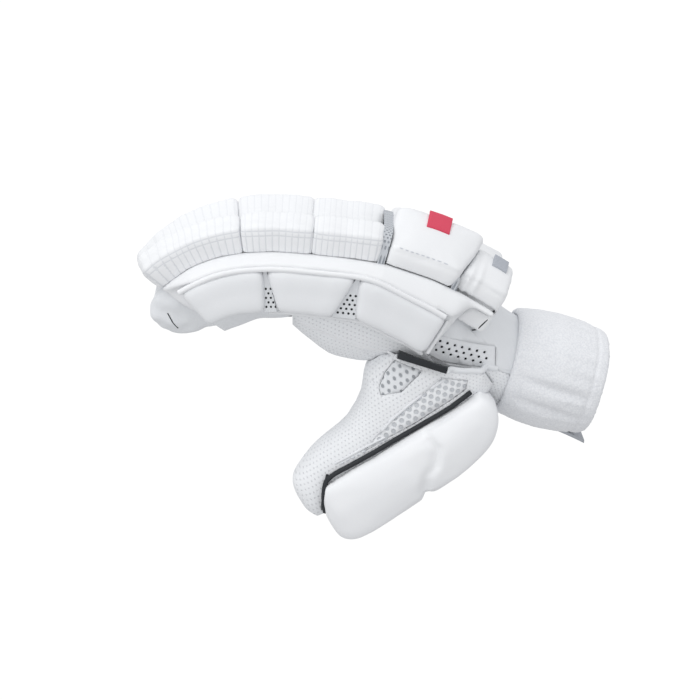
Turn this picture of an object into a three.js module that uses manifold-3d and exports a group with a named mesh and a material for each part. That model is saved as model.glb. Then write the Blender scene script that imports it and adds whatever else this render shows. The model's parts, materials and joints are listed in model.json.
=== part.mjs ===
// Cricket batting glove for the right hand, in the shape that it has on a hand
// held out with the fingers curled. Lengths are millimetres.
// The origin is the middle of the wristband's open end. -X points to the
// fingertips, -Y to the thumb side and +Z to the back of the hand.
import * as THREE from "three";
import { mergeVertices } from "three/addons/utils/BufferGeometryUtils.js";
import Module from "manifold-3d";

const wasm = await Module();
wasm.setup();

// Gap between neighbouring pieces, the leather's thickness, and a length that
// reaches past the glove on every side.
const SEAM = 0.3;
const LEATHER = 1.8;
const FAR = 300;

// Towelling wristband: a round sleeve whose axis climbs towards the hand.
// The rim is drawn in by a share of its length.
const BAND = {
  length: 53, halfWidth: 36, halfDepth: 29.8, wall: 4, climb: 15, grip: 12, rim: 2, drawn: 0.6, square: 2.1,
};

// Palm and back of the hand, from inside the wristband to the finger ends.
// parting lifts the seam between them, as a share of the half depth. The web
// starts and is full at shares of the half width. The hollow runs beyond both ends.
const HAND = {
  reach: 172, rise: 70, width: 103.5, depth: 66, parting: 0.06, webFrom: -0.2, webFull: 0.7, beyond: 10,
};

// Sections of the hand. at is a share of the reach, rise of the rise, depth and
// web of the depth, width and off of the width. cant drops the far side, lean
// tips the section back, both in degrees. web deepens the thumb side of the palm.
const HAND_SECTIONS = [
  { at: 0.395, rise: 0.314, depth: 0.85, width: 0.72, off: 0, cant: 0, lean: 20, web: 0, square: 2.1 },
  { at: 0.488, rise: 0.51, depth: 0.95, width: 0.86, off: 0.005, cant: -2, lean: 15, web: 0, square: 2.2 },
  { at: 0.581, rise: 0.665, depth: 0.98, width: 0.93, off: 0.012, cant: -4, lean: 10, web: 0.02, square: 2.3 },
  { at: 0.686, rise: 0.775, depth: 0.98, width: 0.97, off: 0.02, cant: -6, lean: 6, web: 0.12, square: 2.4 },
  { at: 0.779, rise: 0.86, depth: 0.94, width: 0.99, off: 0.027, cant: -7, lean: 3, web: 0.24, square: 2.5 },
  { at: 0.884, rise: 0.94, depth: 0.82, width: 1, off: 0.027, cant: -8, lean: 0, web: 0.32, square: 2.8 },
  { at: 1.02, rise: 1, depth: 0.69, width: 1, off: 0.027, cant: -9, lean: 0, web: 0.12, square: 3.2 },
];

// Line of the index finger from the wrist to the tip. It climbs at first and
// turns down at each bend.
const FINGER = { length: 190, heel: -66, rise: 47.5, climb: 31, pitch: 26.5 };

// Bends of the fingers. at and over are shares of the finger's length.
const BENDS = [
  { at: 0.17, over: 0.1, turn: 12, curls: false },
  { at: 0.36, over: 0.1, turn: 13, curls: false },
  { at: 0.65, over: 0.2, turn: 12, curls: true },
  { at: 0.79, over: 0.16, turn: 20, curls: true },
  { at: 0.93, over: 0.12, turn: 35, curls: true },
];

// The four fingers. across and lift are shares of the pitch, reach of the
// finger's length, curl of its bends and drop of the stall's depth. roll is in
// degrees.
const FINGERS = [
  { name: "index", across: -1.4, lift: 0, reach: 1, curl: 1, roll: -10, drop: 1 },
  { name: "middle", across: -0.37, lift: 0.06, reach: 1.02, curl: 1.22, roll: 0, drop: 0.95 },
  { name: "ring", across: 0.66, lift: -0.2, reach: 0.98, curl: 1.3, roll: 9, drop: 0.88 },
  { name: "little", across: 1.68, lift: -0.5, reach: 0.88, curl: 1.4, roll: 18, drop: 0.8 },
];

// Finger stalls: the leather tube under each row of rolls. Its wall starts
// inside the palm and its hollow further in, where both are cut off.
const STALL = {
  halfWidth: 12, above: 11.5, below: 31, reach: 1.05, square: 2.5, wallEarly: 6, hollowEarly: 12,
};

// Sections of a stall, at shares of its length, with its depth below the line
// and its width as shares of the full ones.
const STALL_SECTIONS = [
  { at: 0, below: 1, width: 1 },
  { at: 0.24, below: 1.06, width: 1 },
  { at: 0.45, below: 1.12, width: 1 },
  { at: 0.62, below: 1.12, width: 0.99 },
  { at: 0.76, below: 1, width: 0.97 },
  { at: 0.87, below: 0.8, width: 0.92 },
  { at: 0.95, below: 0.6, width: 0.82 },
  { at: 1, below: 0.36, width: 0.54 },
];

// Padding above the finger line. seat is where it starts, side the height of
// its flank, crown what it rises by in the middle and station how far apart its
// sections are.
const ROLL = { halfWidth: 12.7, seat: 7, side: 23.5, crown: 6.5, round: 3.5, slit: 1, station: 16 };

// The middle of a quarter circle's rounding, as a share of its radius, and what
// a pad's end draws in of its sides and its crown.
const CORNER = 1 - Math.SQRT1_2;
const PAD_END = { sides: 0.7, crown: 0.4 };

// The three rolls of each finger, at shares of its length beyond the knuckle.
// edge rounds both ends and end is the tip's rounding as a multiple of it.
const KNUCKLE = 0.357 * FINGER.length;
const ROLLS = [
  { name: "base", from: 0, to: 0.285, edge: 1.4, end: 1 },
  { name: "mid", from: 0.285, to: 0.568, edge: 1.4, end: 1 },
  { name: "tip", from: 0.568, to: 0.922, edge: 2.2, end: 2.8 },
];

// Pads on the back of the hand and above the wrist, each across two fingers.
// left, right and lift are in pitches, side and crown shares of the rolls' ones.
// skew draws the wrist end back towards the middle of the hand, and lean is how
// far its top hangs over.
const BACK_PADS = [
  {
    name: "hand_pad_near", from: 0.165, to: 0.34, left: -1.97, right: 0.12,
    lift: 0.03, roll: -5, side: 1.05, crown: 2.1, skew: 0.14, lean: 6,
  },
  {
    name: "hand_pad_far", from: 0.165, to: 0.34, left: 0.16, right: 2.18,
    lift: -0.3, roll: 13, side: 1, crown: 1.3, skew: -0.1, lean: 6,
  },
  {
    name: "wrist_pad_near", from: -0.01, to: 0.15, left: -1.72, right: 0.02,
    lift: 0.03, roll: -6, side: 1.05, crown: 1, skew: 0, lean: 0,
  },
  {
    name: "wrist_pad_far", from: -0.01, to: 0.15, left: 0.06, right: 1.8,
    lift: -0.16, roll: 12, side: 1.05, crown: 0.9, skew: 0, lean: 0,
  },
];

const BACK_PAD = { seat: -4, edge: 3, round: 4.5, station: 14 };

// Bar of padding along the thumb side of the index finger: a plate with a
// bevelled ledge that stands proud of it. lip is what the pads pass it by, fan
// widens the bevel and heel narrows the bar towards the wrist. thin and thinTip
// are what is left of the ledge there and lost of it over taper at the tip, and
// thinFlat how far a vanishing ledge stays flat. station parts a pad's sections.
const BAR = {
  face: -50, plate: 4, proud: 12, lip: 1, above: 9.4, below: 22, ledge: 3.6, bevel: 4.2, round: 3,
  fan: 6.5, heel: 7, thin: 0.2, thinTip: 0.85, thinFlat: 0.35, taper: 16, deep: 10, station: 14,
};
const BAR_SPAN = { from: 0, heelFrom: 0.07, heelTo: 0.112, fanFrom: 0.12, fanTo: 0.44, to: 0.945 };
const BAR_SHARES = [
  0, 0.05, 0.074, 0.09, 0.106, 0.119, 0.21, 0.3, 0.36, 0.45, 0.58, 0.68, 0.75, 0.82, 0.87, 0.92, 1,
];

// Pads on the bar, at shares of the finger's length. tipSlant and baseSlant
// move the lower corners along the bar, as shares of the pads' depth.
const BAR_PADS = [
  { name: "side_pad_base", from: 0.122, to: 0.4, baseSlant: 0.02, tipSlant: 0 },
  { name: "side_pad_mid", from: 0.405, to: 0.663, baseSlant: 0.48, tipSlant: -0.26 },
  { name: "side_pad_tip", from: 0.668, to: 0.915, baseSlant: 0, tipSlant: -0.1 },
];

// Thumb: its line leaves the palm near the wrist and slopes down and forwards.
// Its near side's windows reach in to a share of the middle.
const THUMB = {
  rootX: -98, rootZ: 8, slope: 31, length: 92, breadth: 34, middle: -42, thickness: 30, square: 2.5,
  window: 0.75,
};

// Sections of the thumb's leather. at is a share of the length, inner and outer
// of the breadth, in of the middle, thick of the thickness.
const THUMB_SECTIONS = [
  { at: -0.36, inner: -1.3, outer: 0.55, middle: 0.62, thick: 1.5 },
  { at: -0.1, inner: -1.1, outer: 0.86, middle: 0.66, thick: 1.66 },
  { at: 0.12, inner: -0.95, outer: 0.84, middle: 0.71, thick: 1.56 },
  { at: 0.24, inner: -0.84, outer: 0.83, middle: 0.75, thick: 1.46 },
  { at: 0.35, inner: -0.5, outer: 0.83, middle: 0.79, thick: 1.36 },
  { at: 0.51, inner: -0.25, outer: 0.84, middle: 0.86, thick: 1.22 },
  { at: 0.65, inner: -0.18, outer: 0.86, middle: 0.91, thick: 1.13 },
  { at: 0.78, inner: -0.11, outer: 0.9, middle: 0.95, thick: 1.06 },
  { at: 0.89, inner: -0.01, outer: 0.95, middle: 0.98, thick: 1 },
  { at: 0.965, inner: 0.1, outer: 0.93, middle: 1, thick: 0.82 },
  { at: 1, inner: 0.26, outer: 0.78, middle: 1, thick: 0.5 },
];

// Padding round the outer side of the thumb.
const THUMB_PAD = { inner: 12.4, outer: 52.6, near: -62, far: -16, round: 9, soft: 0.35, tuck: 5.4 };

// Sections of the padding: at is a share of the thumb's length, inner and outer
// of the padding's breadth, and shrink of its tuck at the ends.
const THUMB_PAD_SECTIONS = [
  { at: -0.335, inner: 0.16, outer: 0.36, shrink: 1 },
  { at: -0.3, inner: 0, outer: 0.52, shrink: 0.4 },
  { at: -0.22, inner: 0, outer: 0.7, shrink: 0 },
  { at: -0.11, inner: 0, outer: 0.81, shrink: 0 },
  { at: 0.08, inner: 0, outer: 0.91, shrink: 0 },
  { at: 0.36, inner: 0, outer: 0.95, shrink: 0 },
  { at: 0.62, inner: 0, outer: 1, shrink: 0 },
  { at: 0.82, inner: 0, outer: 1, shrink: 0 },
  { at: 0.885, inner: 0.2, outer: 0.95, shrink: 0.3 },
  { at: 0.925, inner: 0.42, outer: 0.84, shrink: 1 },
];

// Parting of the thumb padding, as [share of the thumb's length, share of the
// padding's breadth].
const THUMB_PARTING = [
  [0.13, -0.3], [0.11, 0.1], [0.1, 0.3], [0.16, 0.52], [0.25, 0.62], [0.3, 0.8], [0.34, 1.3],
];

// Mesh panels on the near side of the thumb, with their corners at shares of the
// thumb's length and breadth.
const THUMB_MESH = [
  [-0.141, -0.168], [0.246, 0.038], [0.402, 0.165], [0.5, 0.262],
  [0.13, 0.274], [-0.217, 0.247], [-0.261, 0.118],
];
const WEB_MESH = [
  [0.054, -0.776], [-0.065, -0.441], [0.109, -0.309], [0.228, -0.426], [0.217, -0.544], [0.146, -0.682],
];

// Hem between the hand and the thumb on the near side, from the crotch of the
// thumb to the wrist, at shares of the hand's reach and rise.
const HEM = [[0.78, 0.286], [0.715, 0.414], [0.663, 0.443], [0.512, 0.336], [0.337, 0.264], [0.233, 0.2]];

// Perforated panel on the near side of the wrist, at shares of the hand's reach
// and rise, and its rows of holes, which start at such a place too and reach in
// to a share of the thumb's middle.
const SIDE_PANEL = [[0.57, 0.635], [0.346, 0.45], [0.346, 0.28], [0.509, 0.357], [0.57, 0.43]];
const HOLES = {
  radius: 0.85, pitch: 4.45, rows: 3, perRow: 8, rowGap: 2.9, at: 0.553, rise: 0.574, slope: 20, reach: 0.5,
};

// Piping: its radius on the thumb and along the bar, how many sections it has
// for each point of its line, the bar's share of it, and the thumb's as shares of
// the thumb's length and breadth.
const PIPING = { thumbRadius: 1.4, sideRadius: 1.1, sections: 1.5 };
const SIDE_PIPING = { from: 0.12, to: 0.66, steps: 13 };
const THUMB_PIPING = [
  [-0.24, 0.294], [-0.087, 0.318], [0.087, 0.324], [0.261, 0.324], [0.435, 0.324], [0.609, 0.312],
  [0.728, 0.306], [0.788, 0.353], [0.832, 0.5], [0.87, 0.676], [0.897, 0.824],
];

// Loop tag on the hem, its middle at shares of the hand's reach and rise.
const TAG = { length: 28, height: 3.4, at: 0.587, rise: 0.42, slope: 18, near: -56, far: -40 };

// Tab of the wrist closure under the band. Its free end peels away and narrows.
const TAB = { from: -27, to: -4, width: 22, thick: 2, peel: 3.6, narrow: 0.3, curve: 1.6 };

// Badges, at shares of the finger's length and pitch on the line of their pad.
const BADGE = { thick: 1.2, low: 20, high: 60 };
const BADGES = [
  { name: "hand_badge", on: "hand_pad_near", from: 0.195, to: 0.258, left: -0.38, right: 0.03, look: "red" },
  { name: "wrist_badge", on: "wrist_pad_near", from: 0.021, to: 0.068, left: -0.34, right: 0, look: "grey" },
];

// Sides of each round section.
const SIDES = { band: 24, hand: 24, stall: 12, thumb: 16, piping: 6, hole: 6 };

// One finish for each kind of material.
const FINISHES = {
  roll: { color: 0xf4f6f8, roughness: 0.55, metalness: 0 },
  leather: { color: 0xeef1f4, roughness: 0.6, metalness: 0 },
  palm: { color: 0xdde1e6, roughness: 0.85, metalness: 0 },
  mesh: { color: 0xd5d9de, roughness: 0.9, metalness: 0 },
  terry: { color: 0xe9ebf0, roughness: 1, metalness: 0 },
  black: { color: 0x24272b, roughness: 0.6, metalness: 0 },
  red: { color: 0xd23a58, roughness: 0.5, metalness: 0 },
  grey: { color: 0xb4b9c0, roughness: 0.6, metalness: 0 },
};

const radians = THREE.MathUtils.degToRad;
const mix = THREE.MathUtils.lerp;
const clamp = THREE.MathUtils.clamp;
const smooth = THREE.MathUtils.smoothstep;

// Returns a solid from shared vertices and triangles, with its faces outwards.
function solidFrom(positions, triangles) {
  let volume = 0;
  for (let i = 0; i < triangles.length; i += 3) {
    const [a, b, c] = [0, 1, 2].map((k) => positions[triangles[i + k]]);
    volume += a.dot(b.clone().cross(c));
  }
  const turned = volume < 0 ? triangles.slice().reverse() : triangles;
  const vertProperties = new Float32Array(positions.flatMap((p) => [p.x, p.y, p.z]));
  const triVerts = new Uint32Array(turned);
  return new wasm.Manifold(new wasm.Mesh({ numProp: 3, vertProperties, triVerts }));
}

// Returns a solid from a closed three.js geometry.
function solidOf(geometry) {
  geometry.deleteAttribute("normal");
  geometry.deleteAttribute("uv");
  const merged = mergeVertices(geometry, 1e-4);
  const spots = merged.getAttribute("position");
  const pointAt = (_, i) => new THREE.Vector3().fromBufferAttribute(spots, i);
  const positions = Array.from({ length: spots.count }, pointAt);
  return solidFrom(positions, Array.from(merged.index.array));
}

// Returns a solid skinned over rings of as many points each, closed at its ends.
function loft(rings) {
  const count = rings[0].length;
  const positions = rings.flat();
  const triangles = [];
  for (let ring = 0; ring + 1 < rings.length; ring += 1) {
    for (let side = 0; side < count; side += 1) {
      const next = (side + 1) % count;
      const [a, b] = [ring * count + side, ring * count + next];
      const [c, d] = [a + count, b + count];
      triangles.push(a, b, c, b, d, c);
    }
  }
  const last = (rings.length - 1) * count;
  for (const [offset, ring, flip] of [[0, rings[0], true], [last, rings.at(-1), false]]) {
    const middle = ring.reduce((sum, p) => sum.add(p), new THREE.Vector3()).divideScalar(count);
    const hub = positions.push(middle) - 1;
    for (let side = 0; side < count; side += 1) {
      const [a, b] = [offset + side, offset + ((side + 1) % count)];
      triangles.push(...(flip ? [b, a, hub] : [a, b, hub]));
    }
  }
  return solidFrom(positions, triangles);
}

// Returns a prism along Y over an outline of [x, z] points.
function prism(outline, nearY, farY) {
  const shape = new THREE.Shape(outline.map(([x, z]) => new THREE.Vector2(x, z)));
  const geometry = new THREE.ExtrudeGeometry(shape, { depth: farY - nearY, bevelEnabled: false });
  geometry.rotateX(Math.PI / 2);
  geometry.translate(0, farY, 0);
  return solidOf(geometry);
}

// Returns all the space between two places on the X axis.
const slab = (fromX, toX) => prism([[fromX, -FAR], [toX, -FAR], [toX, FAR], [fromX, FAR]], -FAR, FAR);

// Returns an outline of [x, z] points moved away from its middle.
function grown(outline, grow) {
  const points = outline.map(([x, z]) => new THREE.Vector2(x, z));
  const middle = points.reduce((sum, p) => sum.add(p), new THREE.Vector2()).divideScalar(points.length);
  return points.map((p) => {
    const away = p.clone().sub(middle);
    return away.setLength(away.length() + grow).add(middle).toArray();
  });
}

// Returns the points of a rounded closed section as [across, up] pairs, with
// its own half height above and below the middle.
function oval({ half, above, below, square, sides }) {
  return Array.from({ length: sides }, (_, i) => {
    const angle = ((i + 0.5) / sides) * 2 * Math.PI;
    const [c, s] = [Math.cos(angle), Math.sin(angle)];
    const across = Math.sign(c) * half * Math.abs(c) ** (2 / square);
    const up = Math.sign(s) * (s > 0 ? above : below) * Math.abs(s) ** (2 / square);
    return [across, up];
  });
}

// Returns the section of a pad: a flat seat, upright flanks and a crowned top.
function padSection({ left, right, seat, side, crown, round }) {
  const corner = [0, 45, 90].map(radians);
  const middle = (left + right) / 2;
  const turnRight = corner.map((a) => {
    const [inward, down] = [round * (1 - Math.cos(a)), round * (1 - Math.sin(a))];
    return [right - inward, side - down];
  });
  const top = [[middle, side + crown]];
  const turnLeft = turnRight.map(([v, w]) => [left + right - v, w]).reverse();
  return [[left, seat], [right, seat], ...turnRight, ...top, ...turnLeft];
}

// The line of a finger: straight stretches joined by smooth bends, with a frame
// of along, across and up vectors at each distance from the heel.
class FingerLine {
  constructor({ across, lift, reach = 1, curl = 1, roll = 0 }) {
    this.y = across * FINGER.pitch;
    this.length = FINGER.length * reach;
    this.curl = curl;
    this.roll = radians(roll);
    const start = new THREE.Vector3(FINGER.heel, this.y, FINGER.rise + lift * FINGER.pitch);
    this.points = [start];
    this.step = 1;
    for (let s = 0; s < this.length * 1.1; s += this.step) {
      const slope = this.slope(s + this.step / 2);
      const move = new THREE.Vector3(-Math.cos(slope), 0, Math.sin(slope)).multiplyScalar(this.step);
      this.points.push(this.points.at(-1).clone().add(move));
    }
  }

  slope(s) {
    const turned = BENDS.map(({ at, over, turn, curls }) => {
      const [middle, half] = [at * this.length, (over * this.length) / 2];
      return smooth(s, middle - half, middle + half) * turn * (curls ? this.curl : 1);
    });
    return radians(FINGER.climb - turned.reduce((sum, value) => sum + value, 0));
  }

  at(s) {
    const slope = this.slope(s);
    const along = new THREE.Vector3(-Math.cos(slope), 0, Math.sin(slope));
    const level = new THREE.Vector3(Math.sin(slope), 0, Math.cos(slope));
    const far = new THREE.Vector3(0, 1, 0);
    const up = level.clone().multiplyScalar(Math.cos(this.roll)).addScaledVector(far, Math.sin(this.roll));
    const across = far.multiplyScalar(Math.cos(this.roll)).addScaledVector(level, -Math.sin(this.roll));
    const whole = clamp(Math.floor(s / this.step), 0, this.points.length - 1);
    const point = this.points[whole].clone().addScaledVector(along, s - whole * this.step);
    return { point, along, across, up };
  }

  // Distance along the line at which it passes a place on the X axis.
  where(x) {
    const whole = this.points.findIndex((p) => p.x < x);
    return whole * this.step;
  }

  ring(s, section, slant = () => 0) {
    const { point, along, across, up } = this.at(s);
    return section.map(([v, w]) =>
      point.clone().addScaledVector(across, v).addScaledVector(up, w).addScaledVector(along, slant(v, w)));
  }
}

// Stations of a pad along its line, with the inset that rounds off its ends. A
// wide edge has a station in its rounding.
function padStations({ from, to, edge, station }) {
  const steps = Math.max(1, Math.round((to - from - 2 * edge) / station));
  const middle = Array.from({ length: steps + 1 }, (_, i) => {
    return { s: mix(from + edge, to - edge, i / steps), inset: 0 };
  });
  const rounded = edge > 2 ? [CORNER] : [];
  const start = [{ s: from, inset: edge }, ...rounded.map((k) => ({ s: from + edge * k, inset: edge * k }))];
  const end = [...rounded.map((k) => ({ s: to - edge * k, inset: edge * k })), { s: to, inset: edge }];
  return [...start, ...middle, ...end];
}

// Returns a pad on a line, rounded at its ends.
function pad(line, span, shape) {
  const { from, to, edge, endEdge = edge, slant } = span;
  const rings = padStations(span).map(({ s, inset }) => {
    const pulled = s > (from + to) / 2 ? (inset * endEdge) / edge : inset;
    const section = padSection({
      left: shape.left + pulled * PAD_END.sides,
      right: shape.right - pulled * PAD_END.sides,
      seat: shape.seat,
      side: shape.side - pulled,
      crown: Math.max(0, shape.crown - pulled * PAD_END.crown),
      round: shape.round,
    });
    const share = (s - from) / (to - from);
    return line.ring(s, section, (v, w) => (slant ? slant(share, v, w) : 0));
  });
  return loft(rings);
}

// Returns a solid with others cut out of it.
const cutBy = (solid, cutters) => cutters.reduce((left, cutter) => left.subtract(cutter), solid);

const pieces = new THREE.Group();

// Adds a solid to the glove as a named piece.
function place(name, solid, finish) {
  const { numProp, vertProperties, triVerts } = solid.getMesh();
  const geometry = new THREE.BufferGeometry();
  const spots = new Float32Array((vertProperties.length / numProp) * 3);
  for (let i = 0; i * numProp < vertProperties.length; i += 1) {
    for (let axis = 0; axis < 3; axis += 1) spots[i * 3 + axis] = vertProperties[i * numProp + axis];
  }
  geometry.setAttribute("position", new THREE.BufferAttribute(spots, 3));
  geometry.setIndex(new THREE.BufferAttribute(new Uint32Array(triVerts), 1));
  geometry.computeVertexNormals();
  const mesh = new THREE.Mesh(geometry, new THREE.MeshStandardMaterial({ ...finish, flatShading: true }));
  mesh.name = name;
  pieces.add(mesh);
}

// Wristband. Its frame: a distance along the axis, across it and up.
const bandAxis = new THREE.Vector3(-Math.cos(radians(BAND.climb)), 0, Math.sin(radians(BAND.climb)));
const bandUp = new THREE.Vector3(Math.sin(radians(BAND.climb)), 0, Math.cos(radians(BAND.climb)));
const sideways = new THREE.Vector3(0, 1, 0);

function bandRing(along, inset) {
  const section = oval({
    half: BAND.halfWidth - inset,
    above: BAND.halfDepth - inset,
    below: BAND.halfDepth - inset,
    square: BAND.square,
    sides: SIDES.band,
  });
  return section.map(([v, w]) =>
    bandAxis.clone().multiplyScalar(along).addScaledVector(sideways, v).addScaledVector(bandUp, w));
}

const bandOuter = loft([
  bandRing(0, BAND.rim * BAND.drawn),
  bandRing(BAND.rim, 0),
  bandRing(BAND.length - BAND.rim, 0),
  bandRing(BAND.length, BAND.rim * BAND.drawn),
]);
const bandInner = loft([
  bandRing(-BAND.rim, BAND.wall),
  bandRing(BAND.length + BAND.rim, BAND.wall),
]);
place("wristband", bandOuter.subtract(bandInner), FINISHES.terry);

// Returns a section of the closure's tab, under the band.
function tabRing(x) {
  const share = (x - TAB.from) / (TAB.to - TAB.from);
  const halfDepth = BAND.halfDepth / Math.cos(radians(BAND.climb));
  const under = -x * Math.tan(radians(BAND.climb)) - halfDepth - SEAM - TAB.peel * share ** 1.5;
  const half = (TAB.width / 2) * (1 - TAB.narrow * share);
  const curve = TAB.curve * (1 - share);
  return [
    [-half, curve], [-half / 2, curve / 4], [0, 0], [half / 2, curve / 4], [half, curve],
    [half, curve - TAB.thick], [half / 2, curve / 4 - TAB.thick], [0, -TAB.thick],
    [-half / 2, curve / 4 - TAB.thick], [-half, curve - TAB.thick],
  ].map(([y, z]) => new THREE.Vector3(x, y, under + z));
}
const tabBody = loft([0, 0.25, 0.5, 0.75, 1].map((share) => tabRing(mix(TAB.from, TAB.to, share))));
const bandZone = loft([bandRing(-BAND.length, -SEAM), bandRing(BAND.length, -SEAM)]);
place("closing_tab", tabBody.subtract(bandZone), FINISHES.grey);

// Returns a ring of the hand, whose palm and back are first one tube.
function handRing({ x, z, halfWidth, halfDepth, shift, cant, lean, web, square }, inset) {
  const section = oval({
    half: halfWidth - inset,
    above: halfDepth - inset,
    below: halfDepth - inset,
    square,
    sides: SIDES.hand,
  });
  const up = new THREE.Vector3(Math.sin(radians(lean)), 0, Math.cos(radians(lean)));
  const [c, s] = [Math.cos(radians(cant)), Math.sin(radians(cant))];
  return section.map(([v, w]) => {
    const nearness = smooth(-v / halfWidth, HAND.webFrom, HAND.webFull);
    const lowered = w - web * nearness * Math.max(0, -w / halfDepth);
    return new THREE.Vector3(x, shift, z)
      .addScaledVector(sideways, v * c - lowered * s)
      .addScaledVector(up, lowered * c + v * s);
  });
}

// The hand's first two sections lie inside the wristband, a seam from its wall.
function cuffSection(along) {
  const centre = bandAxis.clone().multiplyScalar(along);
  return {
    x: centre.x,
    z: centre.z,
    halfWidth: BAND.halfWidth - BAND.wall - SEAM,
    halfDepth: BAND.halfDepth - BAND.wall - SEAM,
    shift: 0,
    cant: 0,
    lean: BAND.climb,
    web: 0,
    square: BAND.square,
  };
}

// All sections of the hand, with extra length at both of its ends.
function handSections(extra) {
  const rows = HAND_SECTIONS.map((row) => ({
    x: -row.at * HAND.reach,
    z: row.rise * HAND.rise,
    halfWidth: (row.width * HAND.width) / 2,
    halfDepth: (row.depth * HAND.depth) / 2,
    shift: row.off * HAND.width,
    cant: row.cant,
    lean: row.lean,
    web: row.web * HAND.depth,
    square: row.square,
  }));
  const cuff = [cuffSection(BAND.length - BAND.grip - extra), cuffSection(BAND.length)];
  const last = rows.at(-1);
  return [...cuff, ...rows, { ...last, x: last.x - 1 - extra }];
}

const handSolid = (inset, extra = 0) => loft(handSections(extra).map((section) => handRing(section, inset)));
const handOuter = handSolid(0);
const handInner = handSolid(LEATHER, HAND.beyond);
const handGrown = handSolid(-SEAM);

// The thumb's own frame in the XZ plane: along it, and off towards its outer side.
const thumbAlong = new THREE.Vector3(-Math.cos(radians(THUMB.slope)), 0, -Math.sin(radians(THUMB.slope)));
const thumbOff = new THREE.Vector3(Math.sin(radians(THUMB.slope)), 0, -Math.cos(radians(THUMB.slope)));

function thumbPoint(along, off, y) {
  return new THREE.Vector3(THUMB.rootX, y, THUMB.rootZ)
    .addScaledVector(thumbAlong, along)
    .addScaledVector(thumbOff, off);
}

const thumbSections = THUMB_SECTIONS.map((row) => ({
  along: row.at * THUMB.length,
  off: ((row.inner + row.outer) / 2) * THUMB.breadth,
  half: ((row.outer - row.inner) / 2) * THUMB.breadth,
  y: row.middle * THUMB.middle,
  halfY: (row.thick * THUMB.thickness) / 2,
}));

function thumbSolid(inset) {
  return loft(thumbSections.map(({ along, off, half, y, halfY }, index) => {
    const edge = index === thumbSections.length - 1 ? inset : 0;
    const section = oval({
      half: half - inset,
      above: halfY - inset,
      below: halfY - inset,
      square: THUMB.square,
      sides: SIDES.thumb,
    });
    return section.map(([v, w]) => thumbPoint(along - edge, off + v, y + w));
  }));
}

// Y of the thumb's near surface at a place along it and off its line.
function thumbNear(along, off) {
  const after = clamp(thumbSections.findIndex((row) => row.along > along), 1, thumbSections.length - 1);
  const [a, b] = [thumbSections[after - 1], thumbSections[after]];
  const share = (along - a.along) / (b.along - a.along);
  const at = (key) => mix(a[key], b[key], share);
  const reach = clamp(Math.abs(off - at("off")) / at("half"), 0, 0.98);
  return at("y") - at("halfY") * (1 - reach ** THUMB.square) ** (1 / THUMB.square);
}

const thumbOuter = thumbSolid(0);
const thumbInner = thumbSolid(LEATHER);
const thumbGrown = thumbSolid(-SEAM);

// Returns the [x, z] places that stand at shares of the hand's reach and rise.
const onHand = (shares) => shares.map(([at, rise]) => [-at * HAND.reach, rise * HAND.rise]);

// Returns the [x, z] places that stand at shares of the thumb's length and breadth.
const onThumb = (shares) => shares.map(([at, off]) => {
  const place = thumbPoint(at * THUMB.length, off * THUMB.breadth, 0);
  return [place.x, place.z];
});

// Returns the space above the hem, which can be lowered.
function overHem(drop) {
  const hem = onHand(HEM).map(([x, z]) => [x, z - drop]);
  return prism([...hem, [hem.at(-1)[0], FAR], [hem[0][0], FAR]], -FAR, FAR);
}

// Returns the near side's space inside an outline, grown or shrunk.
const nearWindow = (outline, grow) => prism(grown(outline, grow), -FAR, THUMB.middle * THUMB.window);

const thumbWall = thumbOuter.subtract(thumbInner).subtract(handGrown).subtract(overHem(SEAM));
const meshes = [onThumb(THUMB_MESH), onThumb(WEB_MESH)];
place("thumb_stall", cutBy(thumbWall, meshes.map((outline) => nearWindow(outline, 0))), FINISHES.palm);
place("thumb_mesh", thumbWall.intersect(nearWindow(meshes[0], -SEAM)), FINISHES.mesh);
place("web_mesh", thumbWall.intersect(nearWindow(meshes[1], -SEAM)), FINISHES.mesh);

// Finger stalls, open into the hand where the palm ends.
const lines = FINGERS.map((finger) => new FingerLine(finger));
const fingerPlane = -HAND.reach;

function stallSolid(line, finger, inset, early = STALL.wallEarly) {
  const start = line.where(fingerPlane) - early;
  const rings = STALL_SECTIONS.map((row, index) => {
    const isTip = index === STALL_SECTIONS.length - 1;
    const end = line.length * STALL.reach - (isTip ? inset : 0);
    const s = index === 0 ? start : mix(line.where(fingerPlane), end, row.at);
    const section = oval({
      half: STALL.halfWidth * row.width - inset,
      above: STALL.above * row.width ** 2 - inset,
      below: STALL.below * finger.drop * row.below - inset,
      square: STALL.square,
      sides: SIDES.stall,
    });
    return line.ring(s, section);
  });
  return loft(rings);
}

const beyondPalm = slab(-FAR, fingerPlane - SEAM);
const stallsGrown = FINGERS.map((finger, i) => stallSolid(lines[i], finger, -SEAM).intersect(beyondPalm));
FINGERS.forEach((finger, i) => {
  const hollow = stallSolid(lines[i], finger, LEATHER, STALL.hollowEarly);
  const wall = stallSolid(lines[i], finger, 0).subtract(hollow).intersect(beyondPalm);
  place(`${finger.name}_stall`, wall, FINISHES.leather);
});

// Palm and back of the hand, parted along the sides, with the perforated panel.
const beforeFingers = slab(fingerPlane, FAR);
const partingSections = [cuffSection(0), ...handSections(0)];
const partingLine = partingSections.map(({ x, z, halfDepth }) => [x, z + HAND.parting * halfDepth]);

// Returns the space above the seam between palm and back, which can be lowered.
function above(drop) {
  const line = [[FAR, partingLine[0][1]], ...partingLine, [-FAR, partingLine.at(-1)[1]]];
  return prism([...line.map(([x, z]) => [x, z - drop]), [-FAR, FAR], [FAR, FAR]], -FAR, FAR);
}

const thumbWay = thumbInner.subtract(overHem(LEATHER));
const handWall = handOuter.subtract(handInner).subtract(thumbWay).intersect(beforeFingers);
const besidePanel = handWall.subtract(nearWindow(onHand(SIDE_PANEL), 0));
place("back_panel", besidePanel.intersect(above(0)), FINISHES.palm);
place("palm_panel", besidePanel.subtract(above(SEAM)), FINISHES.palm);

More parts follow.
